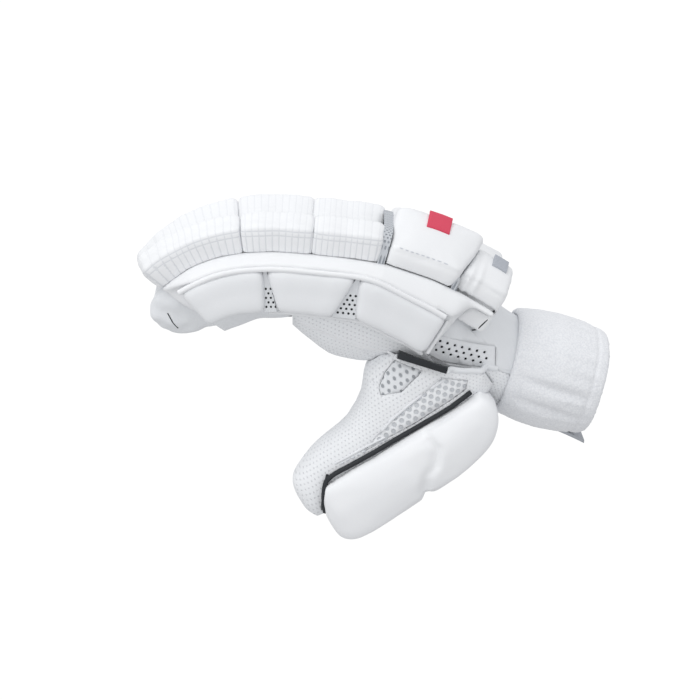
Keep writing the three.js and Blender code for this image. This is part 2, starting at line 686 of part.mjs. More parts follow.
let sidePanel = handWall.intersect(nearWindow(onHand(SIDE_PANEL), -SEAM));
const [[holeX, holeZ]] = onHand([[HOLES.at, HOLES.rise]]);
for (let row = 0; row < HOLES.rows; row += 1) {
  for (let i = 0; i < HOLES.perRow; i += 1) {
    const along = (i + (row % 2) / 2) * HOLES.pitch;
    const slope = radians(HOLES.slope);
    const x = holeX + along * Math.cos(slope) - row * HOLES.rowGap * Math.sin(slope);
    const z = holeZ - along * Math.sin(slope) - row * HOLES.rowGap * Math.cos(slope);
    const outline = Array.from({ length: SIDES.hole }, (_, k) => {
      const angle = (k / SIDES.hole) * 2 * Math.PI;
      return [x + HOLES.radius * Math.cos(angle), z + HOLES.radius * Math.sin(angle)];
    });
    sidePanel = sidePanel.subtract(prism(outline, -FAR, THUMB.middle * HOLES.reach));
  }
}
place("side_panel", sidePanel, FINISHES.palm);

// Bar along the index finger: a plate with a bevelled ledge, and pads under it.
const barLine = new FingerLine({ across: BAR.face / FINGER.pitch, lift: 0 });

// Extra depth of the bar's bevel towards the wrist, at a distance along it.
const barFan = (s) => BAR.fan * (1 - smooth(s / barLine.length, BAR_SPAN.fanFrom, BAR_SPAN.fanTo));

// Returns the bar's plate and ledge, to a depth behind its face, with a growth.
// Each point of the section says across, up, and which way it grows.
function barPlate(deep, grow) {
  const { plate, proud, lip, above: high, below, ledge, bevel } = BAR;
  const underLedge = high - bevel - ledge + lip;
  const section = [
    [deep, high, 0, 1],
    [-plate, high, -0.5, 1],
    [lip - proud, high - bevel, -1, 1],
    [lip - proud, underLedge + lip, -1, 0],
    [-plate, underLedge, -1, 0],
    [-plate, -below, -1, -1],
    [deep, -below, 0, -1],
  ];
  const [from, to] = [BAR_SPAN.from * barLine.length, BAR_SPAN.to * barLine.length];
  const rings = BAR_SHARES.map((share) => {
    const s = mix(from, to, share);
    const heel = smooth(s / barLine.length, BAR_SPAN.heelFrom, BAR_SPAN.heelTo);
    const thin = mix(BAR.thin, 1, heel) * (1 - BAR.thinTip * smooth(s, to - BAR.taper, to));
    const squeezed = section.map(([v, w, growV, growW]) => {
      const tall = mix(high - BAR.heel, w - barFan(s), heel);
      const across = v < 0 ? v * thin : v;
      const up = w < high ? mix(high, tall, mix(BAR.thinFlat, 1, thin)) : w;
      return [across + growV * grow, up + growW * grow];
    });
    const end = share === 0 ? -grow : share === 1 ? grow : 0;
    return barLine.ring(s + end, squeezed);
  });
  return loft(rings);
}

const underBar = barPlate(BAR.deep, SEAM);
const carriers = [handGrown.intersect(beforeFingers), ...stallsGrown];
place("side_bar", cutBy(barPlate(BAR.deep / 2, 0), carriers), FINISHES.leather);

for (const { name, from, to, baseSlant, tipSlant } of BAR_PADS) {
  const top = BAR.above - BAR.bevel - BAR.ledge + BAR.lip - 2 * SEAM;
  const bottom = BAR.lip / 2 - BAR.below;
  const [s0, s1] = [from * barLine.length, to * barLine.length];
  const [back, front] = [-BAR.plate - SEAM, -BAR.proud - SEAM];
  const section = (inset, fan) => {
    const [high, low, out, r] = [top - fan - inset, bottom - fan + inset, front + inset, BAR.round];
    const cut = r * CORNER;
    return [
      [back, high], [back, low], [out + r, low], [out + cut, low + cut], [out, low + r],
      [out, mix(low, high, 0.5)], [out, high - r], [out + cut, high - cut], [out + r, high],
    ];
  };
  const slant = (share, w) => mix(baseSlant, tipSlant, share) * (top - w);
  const span = { from: s0, to: s1, edge: BAR.round, station: BAR.station };
  const rings = padStations(span).map(({ s, inset }) =>
    barLine.ring(s, section(inset, barFan(s)), (v, w) => slant((s - s0) / (s1 - s0), w)));
  place(name, loft(rings), FINISHES.leather);
}

// Rolls on the fingers, three to each, parted by slits.
const padCutters = [...carriers, underBar];
FINGERS.forEach((finger, i) => {
  const line = lines[i];
  for (const { name, from, to, edge, end } of ROLLS) {
    const span = {
      from: mix(KNUCKLE, line.length, from) + ROLL.slit / 2,
      to: mix(KNUCKLE, line.length, to) - ROLL.slit / 2,
      edge,
      endEdge: edge * end,
      station: ROLL.station,
    };
    const shape = { ...ROLL, left: -ROLL.halfWidth, right: ROLL.halfWidth };
    place(`${finger.name}_roll_${name}`, cutBy(pad(line, span, shape), padCutters), FINISHES.roll);
  }
});

// Returns a wide pad of the back of the hand or the wrist, and its line, with a
// growth of the pad.
function backPad({ from, to, left, right, lift, roll, side, crown, skew, lean }, grow) {
  const line = new FingerLine({ across: (left + right) / 2, lift, roll });
  const half = ((right - left) / 2) * FINGER.pitch;
  const span = {
    from: from * FINGER.length - grow,
    to: to * FINGER.length + grow,
    edge: BACK_PAD.edge,
    station: BACK_PAD.station,
    slant: (share, v, w) => (share - 1) * (skew * (v + Math.sign(skew) * half) + lean * (w / ROLL.side)),
  };
  const shape = {
    left: -half - grow,
    right: half + grow,
    seat: BACK_PAD.seat,
    side: ROLL.side * side + grow,
    crown: ROLL.crown * crown,
    round: BACK_PAD.round,
  };
  return { line, solid: pad(line, span, shape) };
}

// The hand pads reach back over the wrist pads, which give way to them.
for (const row of BACK_PADS) {
  const over = BACK_PADS.filter((other) => other.from > row.to).map((other) => backPad(other, SEAM).solid);
  place(row.name, cutBy(backPad(row, 0).solid, [...padCutters, bandZone, ...over]), FINISHES.roll);
}

// Badges: thin patches that lie on a back pad, cut out of a shell round it.
for (const { name, on, from, to, left, right, look } of BADGES) {
  const row = BACK_PADS.find((candidate) => candidate.name === on);
  const { line, solid } = backPad(row, SEAM + BADGE.thick);
  const [near, away] = [left * FINGER.pitch, right * FINGER.pitch];
  const window = [[near, BADGE.low], [away, BADGE.low], [away, BADGE.high], [near, BADGE.high]];
  const cutter = loft([from, to].map((share) => line.ring(share * FINGER.length, window)));
  place(name, solid.subtract(backPad(row, SEAM).solid).intersect(cutter), FINISHES[look]);
}

// Returns a tube of piping through points.
function tube(points, radius) {
  const curve = new THREE.CatmullRomCurve3(points);
  const steps = Math.round(points.length * PIPING.sections);
  const shape = new THREE.Shape(Array.from({ length: SIDES.piping }, (_, i) => {
    const angle = (i / SIDES.piping) * 2 * Math.PI;
    return new THREE.Vector2(radius * Math.cos(angle), radius * Math.sin(angle));
  }));
  return solidOf(new THREE.ExtrudeGeometry(shape, { steps, bevelEnabled: false, extrudePath: curve }));
}

// Piping laid along the thumb, past the corner of its padding and over its tip.
const pipingPoints = THUMB_PIPING.map(([at, across]) => {
  const [along, off] = [at * THUMB.length, across * THUMB.breadth];
  return thumbPoint(along, off, thumbNear(along, off) - PIPING.thumbRadius - 2 * SEAM);
});
const pipingAt = (grow) => tube(pipingPoints, PIPING.thumbRadius + grow);
place("thumb_piping", pipingAt(0), FINISHES.black);

// Padding of the thumb: a deep shell round its outer side, parted in two.
const breadthOfPad = THUMB_PAD.outer - THUMB_PAD.inner;
const thumbPadRings = THUMB_PAD_SECTIONS.map(({ at, inner, outer, shrink }) => {
  const [low, high] = [THUMB_PAD.inner + inner * breadthOfPad, THUMB_PAD.inner + outer * breadthOfPad];
  const [near, far] = [THUMB_PAD.near + shrink * THUMB_PAD.tuck, THUMB_PAD.far - shrink * THUMB_PAD.tuck];
  const r = Math.min(THUMB_PAD.round, (high - low) / 3);
  const small = r * THUMB_PAD.soft;
  const quarter = [[0, 1], [CORNER, CORNER], [1, 0]];
  const corner = (off, y, sx, sy) => quarter.map(([a, b]) => [off + sx * a * r, y + sy * b * r]);
  const outline = [
    [low, near + small], [low + small, near],
    ...corner(high, near, -1, 1).reverse(),
    ...corner(high, far, -1, -1),
    [low + small, far], [low, far - small],
  ];
  return outline.map(([off, y]) => thumbPoint(at * THUMB.length, off, y));
});
const thumbPadding = cutBy(loft(thumbPadRings), [thumbGrown, bandZone, handGrown, pipingAt(SEAM)]);

// Returns the space on the tip's side of the padding's parting, moved back.
function thumbTipSide(back) {
  const edge = THUMB_PARTING.map(([along, off]) => {
    return [along * THUMB.length - back, THUMB_PAD.inner + off * breadthOfPad];
  });
  const [beyond, first, last] = [THUMB.length * 2, edge[0], edge.at(-1)];
  const outline = [...edge, [beyond, last[1]], [beyond, first[1]]].map(([along, off]) => {
    const at = thumbPoint(along, off, 0);
    return [at.x, at.z];
  });
  return prism(outline, -FAR, FAR);
}
place("thumb_pad_base", thumbPadding.subtract(thumbTipSide(SEAM)), FINISHES.leather);
place("thumb_pad_tip", thumbPadding.intersect(thumbTipSide(0)), FINISHES.leather);

// Piping under the bar's pads, and up behind the last of them.
const underRoute = Array.from({ length: SIDE_PIPING.steps + 1 }, (_, i) => {
  const at = mix(SIDE_PIPING.from, SIDE_PIPING.to, i / SIDE_PIPING.steps) * barLine.length;
  const { point, across, up } = barLine.at(at);
  const drop = -BAR.below - barFan(at) - PIPING.sideRadius - 2 * SEAM;
  return point.addScaledVector(across, -BAR.plate / 2).addScaledVector(up, drop);
});
const underPiping = cutBy(tube(underRoute, PIPING.sideRadius), [handGrown, ...stallsGrown]);
place("side_piping", underPiping, FINISHES.leather);

const heelAt = BAR_PADS[0].from * barLine.length - PIPING.sideRadius - 2 * SEAM;
const heelRoute = [0, 1, 2, 3, 4].map((i) => {
  const { point, across, up } = barLine.at(heelAt);
  const high = BAR.above - BAR.bevel - BAR.ledge - barFan(heelAt) - PIPING.sideRadius;
  const w = mix(high, -BAR.below - barFan(heelAt) + 1, i / 4);
  return point.addScaledVector(across, -BAR.plate - PIPING.sideRadius - SEAM).addScaledVector(up, w);
});
place("heel_piping", tube(heelRoute, PIPING.sideRadius), FINISHES.leather);

// Loop tag at the hem, sewn flat on the thumb side of the hand.
const [[tagX, tagZ]] = onHand([[TAG.at, TAG.rise]]);
const tagRing = (along) => {
  const slope = radians(TAG.slope);
  const [x, z] = [tagX + along * Math.cos(slope), tagZ - along * Math.sin(slope)];
  return [[TAG.near, 0.5], [TAG.near, -0.5], [TAG.far, -0.5], [TAG.far, 0.5]].map(([y, w]) =>
    new THREE.Vector3(x + w * TAG.height * Math.sin(slope), y, z + w * TAG.height * Math.cos(slope)));
};
const tagBody = loft([tagRing(-TAG.length / 2), tagRing(TAG.length / 2)]);
place("loop_tag", cutBy(tagBody, [handGrown, thumbGrown]), FINISHES.black);

export default pieces;
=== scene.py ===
"""Cricket batting glove for the right hand, dressed in leather, mesh and towelling.

Each sub-assembly of the glove is a class that refines its solids and dresses them.
Lengths are millimetres, in the glove's own frame: -X points to the fingertips, -Y to
the thumb side and +Z out of the back of the hand. Meshes are stored in metres.
"""
from __future__ import annotations

import json
import logging
import math
from collections.abc import Iterable
from dataclasses import dataclass, field
from enum import Enum

import bmesh
import bpy
import numpy as np
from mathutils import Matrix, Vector, noise
from mathutils.bvhtree import BVHTree

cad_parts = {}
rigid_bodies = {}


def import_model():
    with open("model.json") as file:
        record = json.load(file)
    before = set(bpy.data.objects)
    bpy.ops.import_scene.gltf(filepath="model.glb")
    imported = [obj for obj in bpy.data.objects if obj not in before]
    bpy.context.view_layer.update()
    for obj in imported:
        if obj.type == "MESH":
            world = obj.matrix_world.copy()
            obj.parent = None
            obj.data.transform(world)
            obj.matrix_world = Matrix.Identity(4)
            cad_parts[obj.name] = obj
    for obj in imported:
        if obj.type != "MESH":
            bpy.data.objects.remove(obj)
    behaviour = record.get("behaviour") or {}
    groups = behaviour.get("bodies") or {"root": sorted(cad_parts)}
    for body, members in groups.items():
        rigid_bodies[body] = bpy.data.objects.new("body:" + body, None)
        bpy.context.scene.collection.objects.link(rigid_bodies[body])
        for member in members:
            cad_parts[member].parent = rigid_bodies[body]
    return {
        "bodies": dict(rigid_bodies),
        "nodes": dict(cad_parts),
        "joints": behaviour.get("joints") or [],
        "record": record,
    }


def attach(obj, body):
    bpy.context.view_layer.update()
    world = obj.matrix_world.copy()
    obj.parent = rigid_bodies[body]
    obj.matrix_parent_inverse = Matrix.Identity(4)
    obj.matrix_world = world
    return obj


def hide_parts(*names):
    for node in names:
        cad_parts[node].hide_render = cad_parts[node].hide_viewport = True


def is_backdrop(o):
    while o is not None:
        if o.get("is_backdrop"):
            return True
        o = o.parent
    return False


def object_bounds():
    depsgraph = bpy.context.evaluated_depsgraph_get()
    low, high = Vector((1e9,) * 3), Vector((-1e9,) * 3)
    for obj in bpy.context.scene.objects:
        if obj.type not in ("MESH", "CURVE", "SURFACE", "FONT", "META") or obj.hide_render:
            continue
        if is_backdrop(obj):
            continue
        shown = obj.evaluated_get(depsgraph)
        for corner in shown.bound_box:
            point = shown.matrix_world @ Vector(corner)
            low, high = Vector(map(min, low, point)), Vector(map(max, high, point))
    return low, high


Tree = bpy.types.NodeTree
Socket = bpy.types.NodeSocket
Net = bmesh.types.BMesh

LOG = logging.getLogger("glove")
MM = 0.001
# Names of the vectors that materials read: the place along a finger, and on the cloth.
RUN = "run"
CLOTH = "cloth"
# The folds and loops are drawn from this seed, so that they are the same each time.
FOLD_SEED = 11
# Lines pressed into the rolls: the distance between those across the finger, and
# how far above its line the two along it lie.
SCORE_PITCH = 3.1
RAILS = (24.2, 21.6)
# The thumb's line on the near side, as an [x, z] place, and how many degrees it falls.
THUMB_ROOT = (-98.0, 8.0)
THUMB_SLOPE = 31.0
# The stuffing's inner pressure on a pad's leather, and the frame that it has blown the pad up by.
PRESSURE = 4
BLOWN_FRAME = 20
# Places on the near side are found from this far out.
OUTSIDE = -200.0


class Edging(Enum):
    """What a welt, a piping or a seam is made of."""

    PLAIN = "plain sheepskin"
    SMOOTH = "coated leather"
    # BLACK also dresses two black cords laid in creases, as painted shade.
    BLACK = "black tape"


# Colours and patterns


def linear(hex_colour: str) -> tuple[float, float, float, float]:
    """Turn an sRGB hex value to a linear colour.

    Args:
        hex_colour: six hex digits.

    Returns:
        Red, green, blue and an alpha of 1.
    """
    shares = [int(hex_colour[i : i + 2], 16) / 255 for i in (0, 2, 4)]
    bent = [c / 12.92 if c <= 0.04045 else ((c + 0.055) / 1.055) ** 2.4 for c in shares]
    return bent[0], bent[1], bent[2], 1.0


def eased(share: float | np.ndarray) -> float | np.ndarray:
    """Turn a share from 0 to 1 into one that starts and ends gently."""
    return share * share * (3 - 2 * share)


def add(tree: Tree, kind: str, settings: dict | None = None, links: dict | None = None) -> bpy.types.Node:
    """Add a node with its settings and links.

    Args:
        tree: the material's node tree.
        kind: the node's type.
        settings: its properties by name, and its sockets' values by name or index.
        links: the output that each socket reads, by the socket's name or index.

    Returns:
        The new node.
    """
    node = tree.nodes.new(kind)
    for key, value in (settings or {}).items():
        if isinstance(key, str) and hasattr(node, key):
            setattr(node, key, value)
        else:
            node.inputs[key].default_value = value
    for key, output in (links or {}).items():
        tree.links.new(output, node.inputs[key])
    return node


def sum_of(tree: Tree, operation: str, *terms: object) -> Socket:
    """Add a Math node.

    Args:
        tree: the material's node tree.
        operation: the Math node's operation.
        terms: outputs or plain numbers, in the order of the node's sockets.

    Returns:
        The node's output.
    """
    node = add(tree, "ShaderNodeMath", {"operation": operation})
    for index, term in enumerate(terms):
        if isinstance(term, Socket):
            tree.links.new(term, node.inputs[index])
        else:
            node.inputs[index].default_value = term
    return node.outputs[0]


def shade_between(tree: Tree, share: object, first: object, second: object) -> Socket:
    """Mix two colours.

    Args:
        tree: the material's node tree.
        share: the output that says how much of the second colour shows.
        first: a colour or an output.
        second: a colour or an output.

    Returns:
        The mixed colour's output.
    """
    node = add(tree, "ShaderNodeMix", {"data_type": "RGBA"}, {0: share})
    for socket, colour in ((6, first), (7, second)):
        if isinstance(colour, Socket):
            tree.links.new(colour, node.inputs[socket])
        else:
            node.inputs[socket].default_value = colour
    return node.outputs[2]


def holes_in_rows(
    tree: Tree, place: Socket, pitch: tuple[float, float], radius: float, soft: float = 0.12
) -> Socket:
    """Draw round holes in staggered rows.

    Args:
        tree: the material's node tree.
        place: a vector in millimetres whose first two parts lie along the cloth.
        pitch: the distance between holes along a row and between rows.
        radius: the holes' radius.
        soft: half the width of their edge.

    Returns:
        An output that is 1 inside a hole and 0 outside.
    """
    split = add(tree, "ShaderNodeSeparateXYZ", links={0: place})
    row = sum_of(tree, "DIVIDE", split.outputs[1], pitch[1])
    shift = sum_of(tree, "MULTIPLY", sum_of(tree, "MODULO", sum_of(tree, "FLOOR", row), 2.0), 0.5)
    column = sum_of(tree, "ADD", sum_of(tree, "DIVIDE", split.outputs[0], pitch[0]), shift)
    across = sum_of(tree, "MULTIPLY", sum_of(tree, "SUBTRACT", sum_of(tree, "FRACT", column), 0.5), pitch[0])
    down = sum_of(tree, "MULTIPLY", sum_of(tree, "SUBTRACT", sum_of(tree, "FRACT", row), 0.5), pitch[1])
    squares = [sum_of(tree, "POWER", part, 2.0) for part in (across, down)]
    off = sum_of(tree, "SQRT", sum_of(tree, "ADD", *squares))
    faded = {"interpolation_type": "SMOOTHSTEP", 1: radius - soft, 2: radius + soft, 3: 1.0, 4: 0.0}
    return add(tree, "ShaderNodeMapRange", faded, {0: off}).outputs[0]


@dataclass(frozen=True)
class Finish:
    """What all finishes of the glove share: a colour with soft patches, and a grain.

    grain is the size of the surface's bumps and depth their height, in millimetres.
    """

    name: str
    colour: str
    patch: str
    rough: float
    grain: float
    depth: float
    slot: str
    sheen: float = 0.0

    def material(self) -> bpy.types.Material:
        """Return the finish's material, made once."""
        found = bpy.data.materials.get(self.name)
        if found:
            return found
        made = bpy.data.materials.new(self.name)
        made.use_nodes = True
        tree = made.node_tree
        tree.nodes.clear()
        place = add(tree, "ShaderNodeTexCoord").outputs["Object"]
        colour, height = self.surface(tree, place)
        bump = add(tree, "ShaderNodeBump", {"Strength": 1.0, "Distance": self.depth * MM}, {"Height": height})
        values = {"Roughness": self.rough, "IOR": 1.5, "Sheen Weight": self.sheen, "Specular IOR Level": 0.4}
        reads = {"Base Color": colour, "Normal": bump.outputs[0]}
        shader = add(tree, "ShaderNodeBsdfPrincipled", values, reads)
        add(tree, "ShaderNodeOutputMaterial", links={"Surface": shader.outputs[0]})
        return made

    def tone(self, tree: Tree, place: Socket) -> Socket:
        """Return the colour, in soft patches about 25 mm wide."""
        cloud = add(tree, "ShaderNodeTexNoise", {"Scale": 1 / (25 * MM), "Detail": 3.0}, {"Vector": place})
        return shade_between(tree, cloud.outputs[0], linear(self.colour), linear(self.patch))

    def surface(self, tree: Tree, place: Socket) -> tuple:
        """Return the colour and height outputs of a fine-grained skin with dents 6 mm wide."""
        cells = {"feature": "SMOOTH_F1", "Scale": 1 / (self.grain * MM)}
        pebble = add(tree, "ShaderNodeTexVoronoi", cells, {"Vector": place})
        soft = add(tree, "ShaderNodeTexNoise", {"Scale": 1 / (6 * MM), "Detail": 2.0}, {"Vector": place})
        height = sum_of(tree, "ADD", pebble.outputs[0], sum_of(tree, "MULTIPLY", soft.outputs[0], 1.4))
        return self.tone(tree, place), height


@dataclass(frozen=True)
class ScoredLeather(Finish):
    """Coated leather with lines pressed in across the finger, and two along it.

    The lines are darkened as painted shade in their grooves. The lines across grow fainter, shade and depth
    alike, over the heights in fading, down to the share faint.
    """

    # The lines' colour: painted shade in their grooves.
    shade_ink: str = "CCCFD4"
    line_width: float = 0.42
    rail_width: float = 0.5
    fading: tuple[float, float] = (22.0, 27.0)
    faint: float = 0.35

    def line(self, tree: Tree, off: Socket, half: float) -> Socket:
        """Return an output that is 1 on a line and fades out over half its width."""
        faded = {"interpolation_type": "SMOOTHSTEP", 1: half * 0.3, 2: half, 3: 1.0, 4: 0.0}
        return add(tree, "ShaderNodeMapRange", faded, {0: off}).outputs[0]

    def surface(self, tree: Tree, place: Socket) -> tuple:
        """Return the colour and height of leather with pressed lines, darkened as painted shade."""
        colour, height = super().surface(tree, place)
        run = add(tree, "ShaderNodeAttribute", {"attribute_name": RUN}).outputs["Vector"]
        split = add(tree, "ShaderNodeSeparateXYZ", links={0: run})
        turn = sum_of(tree, "FRACT", sum_of(tree, "DIVIDE", split.outputs[0], SCORE_PITCH))
        aside = sum_of(tree, "ABSOLUTE", sum_of(tree, "SUBTRACT", turn, 0.5))
        off = sum_of(tree, "MULTIPLY", aside, SCORE_PITCH)
        fade = {1: self.fading[0], 2: self.fading[1], 3: 1.0, 4: self.faint}
        low = add(tree, "ShaderNodeMapRange", fade, {0: split.outputs[2]}).outputs[0]
        across = sum_of(tree, "MULTIPLY", self.line(tree, off, self.line_width), low)
        for rail in RAILS:
            gap = sum_of(tree, "ABSOLUTE", sum_of(tree, "SUBTRACT", split.outputs[2], rail))
            across = sum_of(tree, "MAXIMUM", across, self.line(tree, gap, self.rail_width))
        # Darken the lines with painted shade.
        pressed = shade_between(tree, sum_of(tree, "MULTIPLY", across, 0.5), colour, linear(self.shade_ink))
        return pressed, sum_of(tree, "SUBTRACT", height, sum_of(tree, "MULTIPLY", across, 2.0))


@dataclass(frozen=True)
class PerforatedLeather(Finish):
    """Soft leather with rows of fine holes, all over or in one band of the cloth.

    share says how much of the dark colour, painted shade inside a hole, shows in a hole.
    """

    pitch: tuple[float, float] = (2.3, 2.0)
    radius: float = 0.34
    # The holes' colour: painted shade inside them.
    shade_ink: str = "7D838C"
    share: float = 0.2
    band: tuple[float, float] | None = None

    def surface(self, tree: Tree, place: Socket) -> tuple:
        """Return the colour and height of pricked leather."""
        colour, height = super().surface(tree, place)
        laid = add(tree, "ShaderNodeAttribute", {"attribute_name": CLOTH}).outputs["Vector"]
        hole = holes_in_rows(tree, laid, self.pitch, self.radius)
        if self.band:
            row = add(tree, "ShaderNodeSeparateXYZ", links={"Vector": laid}).outputs["Y"]
            for test, limit in zip(("GREATER_THAN", "LESS_THAN"), self.band):
                hole = sum_of(tree, "MULTIPLY", hole, sum_of(tree, test, row, limit))
        # Darken the holes with painted shade.
        pricked = shade_between(tree, sum_of(tree, "MULTIPLY", hole, self.share), colour, linear(self.shade_ink))
        return pricked, sum_of(tree, "SUBTRACT", height, sum_of(tree, "MULTIPLY", hole, 3.0))


@dataclass(frozen=True)
class SpacerMesh(Finish):
    """Knitted spacer mesh: a net with oval windows, painted darker inside as shade on the ground."""

    pitch: tuple[float, float] = (4.6, 2.8)
    radius: float = 1.2
    # The windows' colour: painted shade on the ground seen through them.
    shade_ink: str = "CDD0D4"

    def surface(self, tree: Tree, place: Socket) -> tuple:
        """Return the colour and height of the net."""
        colour, height = super().surface(tree, place)
        laid = add(tree, "ShaderNodeAttribute", {"attribute_name": CLOTH}).outputs["Vector"]
        window = holes_in_rows(tree, laid, self.pitch, self.radius, soft=0.35)
        # Darken the windows with painted shade.
        net = shade_between(tree, window, colour, linear(self.shade_ink))
        return net, sum_of(tree, "SUBTRACT", height, sum_of(tree, "MULTIPLY", window, 3.5))


@dataclass(frozen=True)
class Towelling(Finish):
    """Looped cotton towelling: small soft tufts with shade between them.

    crumb is the width of the loops that show on a tuft.
    """

    shade_ink: str = "DFE1E5"
    crumb: float = 0.9

    def surface(self, tree: Tree, place: Socket) -> tuple:
        """Return the colour and height of the loops."""
        tuft = add(tree, "ShaderNodeTexVoronoi", {"Scale": 1 / (self.grain * MM)}, {"Vector": place})
        loops = {"Scale": 1 / (self.crumb * MM), "Detail": 4.0}
        crumb = add(tree, "ShaderNodeTexNoise", loops, {"Vector": place})
        depth = sum_of(tree, "ADD", tuft.outputs[0], sum_of(tree, "MULTIPLY", crumb.outputs[0], 0.8))
        shade = add(tree, "ShaderNodeMapRange", {1: 0.45, 2: 1.25, 3: 0.0, 4: 0.75}, {0: depth}).outputs[0]
        colour = shade_between(tree, shade, self.tone(tree, place), linear(self.shade_ink))
        return colour, sum_of(tree, "MULTIPLY", depth, -1.0)


# PU-coated cowhide of the rolls: near white, a satin film over a fine grain.
ROLL_LEATHER = ScoredLeather("scored_coated_leather", "F3F4F5", "EDEEF0", 0.5, 0.9, 0.03, "roll_leather")
# The same hide left smooth over the back pads and the bar, then the side pads with painted shade and the
# guard with painted light.
SMOOTH_LEATHER = Finish("smooth_coated_leather", "F3F4F5", "EDEEF0", 0.46, 1.0, 0.03, "roll_leather")
SHADED_PAD_LEATHER = Finish("pad_coated_leather", "EEEFF1", "E7E9EB", 0.44, 1.0, 0.03, "pad_leather")
LIT_GUARD_LEATHER = Finish("guard_coated_leather", "F9FAFB", "F4F5F7", 0.44, 1.0, 0.03, "pad_leather")
# Buffed sheepskin of the palm and thumb, matt. Its air holes are about 0.3 mm wide and
# 1 mm apart, and drawn about twice as coarse, darkened as painted shade, so that they show.
PALM_LEATHER = PerforatedLeather(
    "pricked_sheepskin", "F4F5F7", "EEF0F2", 0.78, 0.7, 0.07, "palm_leather", 0.15
)
PLAIN_LEATHER = Finish("plain_sheepskin", "ECEEF0", "E4E6E9", 0.75, 0.8, 0.07, "palm_leather", 0.15)
# The same leather between the side pads, a little darker as painted shade, with holes punched through in one
# band and painted black as shade inside them.
GUSSET_LEATHER = PerforatedLeather(
    "punched_gusset_leather", "E4E6E8", "DADCDF", 0.7, 0.8, 0.06, "palm_leather",
    pitch=(2.9, 2.5), radius=0.66, shade_ink="1B1D20", share=1.0, band=(-19.5, -7.0),
)
# Dark discs laid under the side panel's holes: painted shade inside the holes.
HOLE_SHADE = Finish("dark_lining", "15171A", "1D1F23", 0.9, 0.5, 0.1, "black_trim")
# Polyester spacer mesh, which shows oval windows about 4 mm apart, painted darker as shade inside them.
MESH_FABRIC = SpacerMesh("spacer_mesh", "F5F6F8", "EFF1F3", 0.85, 0.6, 0.12, "mesh_fabric")
WEB_FABRIC = SpacerMesh(
    "open_spacer_mesh", "EEF0F2", "E7E9EC", 0.85, 0.6, 0.12, "mesh_fabric",
    pitch=(3.9, 3.0), radius=0.8, shade_ink="A2A6AB",
)
# Fine warp-knitted mesh, grey in the folds, its holes painted darker as shade inside them.
CHANNEL_FABRIC = PerforatedLeather(
    "channel_mesh", "CDD0D4", "C1C5CA", 0.85, 0.6, 0.1, "mesh_fabric",
    pitch=(1.7, 1.5), radius=0.4, share=0.7,
)
# Cotton towelling: matt and soft-edged, a slightly cool white.
TERRY = Towelling("cotton_towelling", "F5F6F8", "F0F1F3", 0.95, 1.1, 0.14, "terry", 0.3)
# Black coated tape and piping, satin, also laid as black cords in two creases as painted shade.
BLACK_TAPE = Finish("black_coated_tape", "1E2125", "272B30", 0.5, 0.5, 0.06, "black_trim")
# Woven hook tape of the closure, matt grey.
HOOK_TAPE = Finish("grey_hook_tape", "BABDC2", "A9ACB2", 0.8, 0.6, 0.2, "hook_tape")
# Moulded rubber patch, red, and an embroidered one, grey.
RED_PATCH = Finish("moulded_red_patch", "DD4A63", "D13F58", 0.4, 0.5, 0.05, "red_patch")
GREY_PATCH = Finish("embroidered_grey_patch", "B9BDC4", "A7ACB4", 0.7, 0.6, 0.25, "grey_patch")
# Bonded polyester thread.
THREAD = Finish("white_thread", "D9DCE1", "CFD3D9", 0.6, 0.4, 0.03, "pad_leather")


# Shapes in mesh code


def copy_of(node: bpy.types.Object) -> Net:
    """Return a merged copy of a node's mesh, in metres."""
    bm = bmesh.new()
    bm.from_mesh(node.data)
    bmesh.ops.remove_doubles(bm, verts=bm.verts, dist=0.002 * MM)
    bmesh.ops.dissolve_degenerate(bm, edges=bm.edges, dist=0.001 * MM)
    bmesh.ops.triangulate(bm, faces=bm.faces)
    return bm


def corner_normals(bm: Net, angle: float) -> dict[tuple[int, int], Vector]:
    """Average the normals round each vertex on each side of its creases.

    Args:
        bm: the mesh.
        angle: faces that meet at more than this many degrees have a crease.

    Returns:
        The normal of each face's corner, by the face's and the vertex's index.
    """
    limit = math.cos(math.radians(angle))
    normals: dict[tuple[int, int], Vector] = {}
    for vert in bm.verts:
        loops = [(loop.face, loop.calc_angle()) for loop in vert.link_loops]
        for face, _ in loops:
            total = Vector()
            for other, share in loops:
                if face.normal.dot(other.normal) > limit:
                    total += other.normal * share
            normals[face.index, vert.index] = total.normalized()
    return normals


def curve_out(bm: Net, rounds: int, angle: float = 50) -> Net:
    """Split each flat facet in four and bend it to the round surface it stands for.

    Args:
        bm: a mesh of triangles, changed in place.
        rounds: how many times each triangle is split.
        angle: creases sharper than this many degrees are kept.

    Returns:
        The same mesh.
    """
    for _ in range(rounds):
        bm.normal_update()
        bm.verts.index_update()
        bm.faces.index_update()
        normals = corner_normals(bm, angle)
        pushes = {}
        for edge in bm.edges:
            first, last = edge.verts
            along = last.co - first.co
            push = Vector()
            for face in edge.link_faces:
                start, end = normals[face.index, first.index], normals[face.index, last.index]
                push += (end * along.dot(end) - start * along.dot(start)) / 8
            pushes[((first.co + last.co) / 2).to_tuple(7)] = push / max(1, len(edge.link_faces))
        before = len(bm.verts)
        bmesh.ops.subdivide_edges(bm, edges=bm.edges, cuts=1, use_grid_fill=True)
        bmesh.ops.triangulate(bm, faces=[face for face in bm.faces if len(face.verts) > 3])
        bm.verts.ensure_lookup_table()
        for vert in bm.verts[before:]:
            vert.co += pushes.get(vert.co.to_tuple(7), Vector())
    bm.normal_update()
    return bm


def to_object(bm: Net, name: str) -> bpy.types.Object:
    """Put a mesh in the scene as a new object and free it."""
    mesh = bpy.data.meshes.new(name)
    bm.to_mesh(mesh)
    bm.free()
    piece = bpy.data.objects.new(name, mesh)
    bpy.context.scene.collection.objects.link(piece)
    return piece


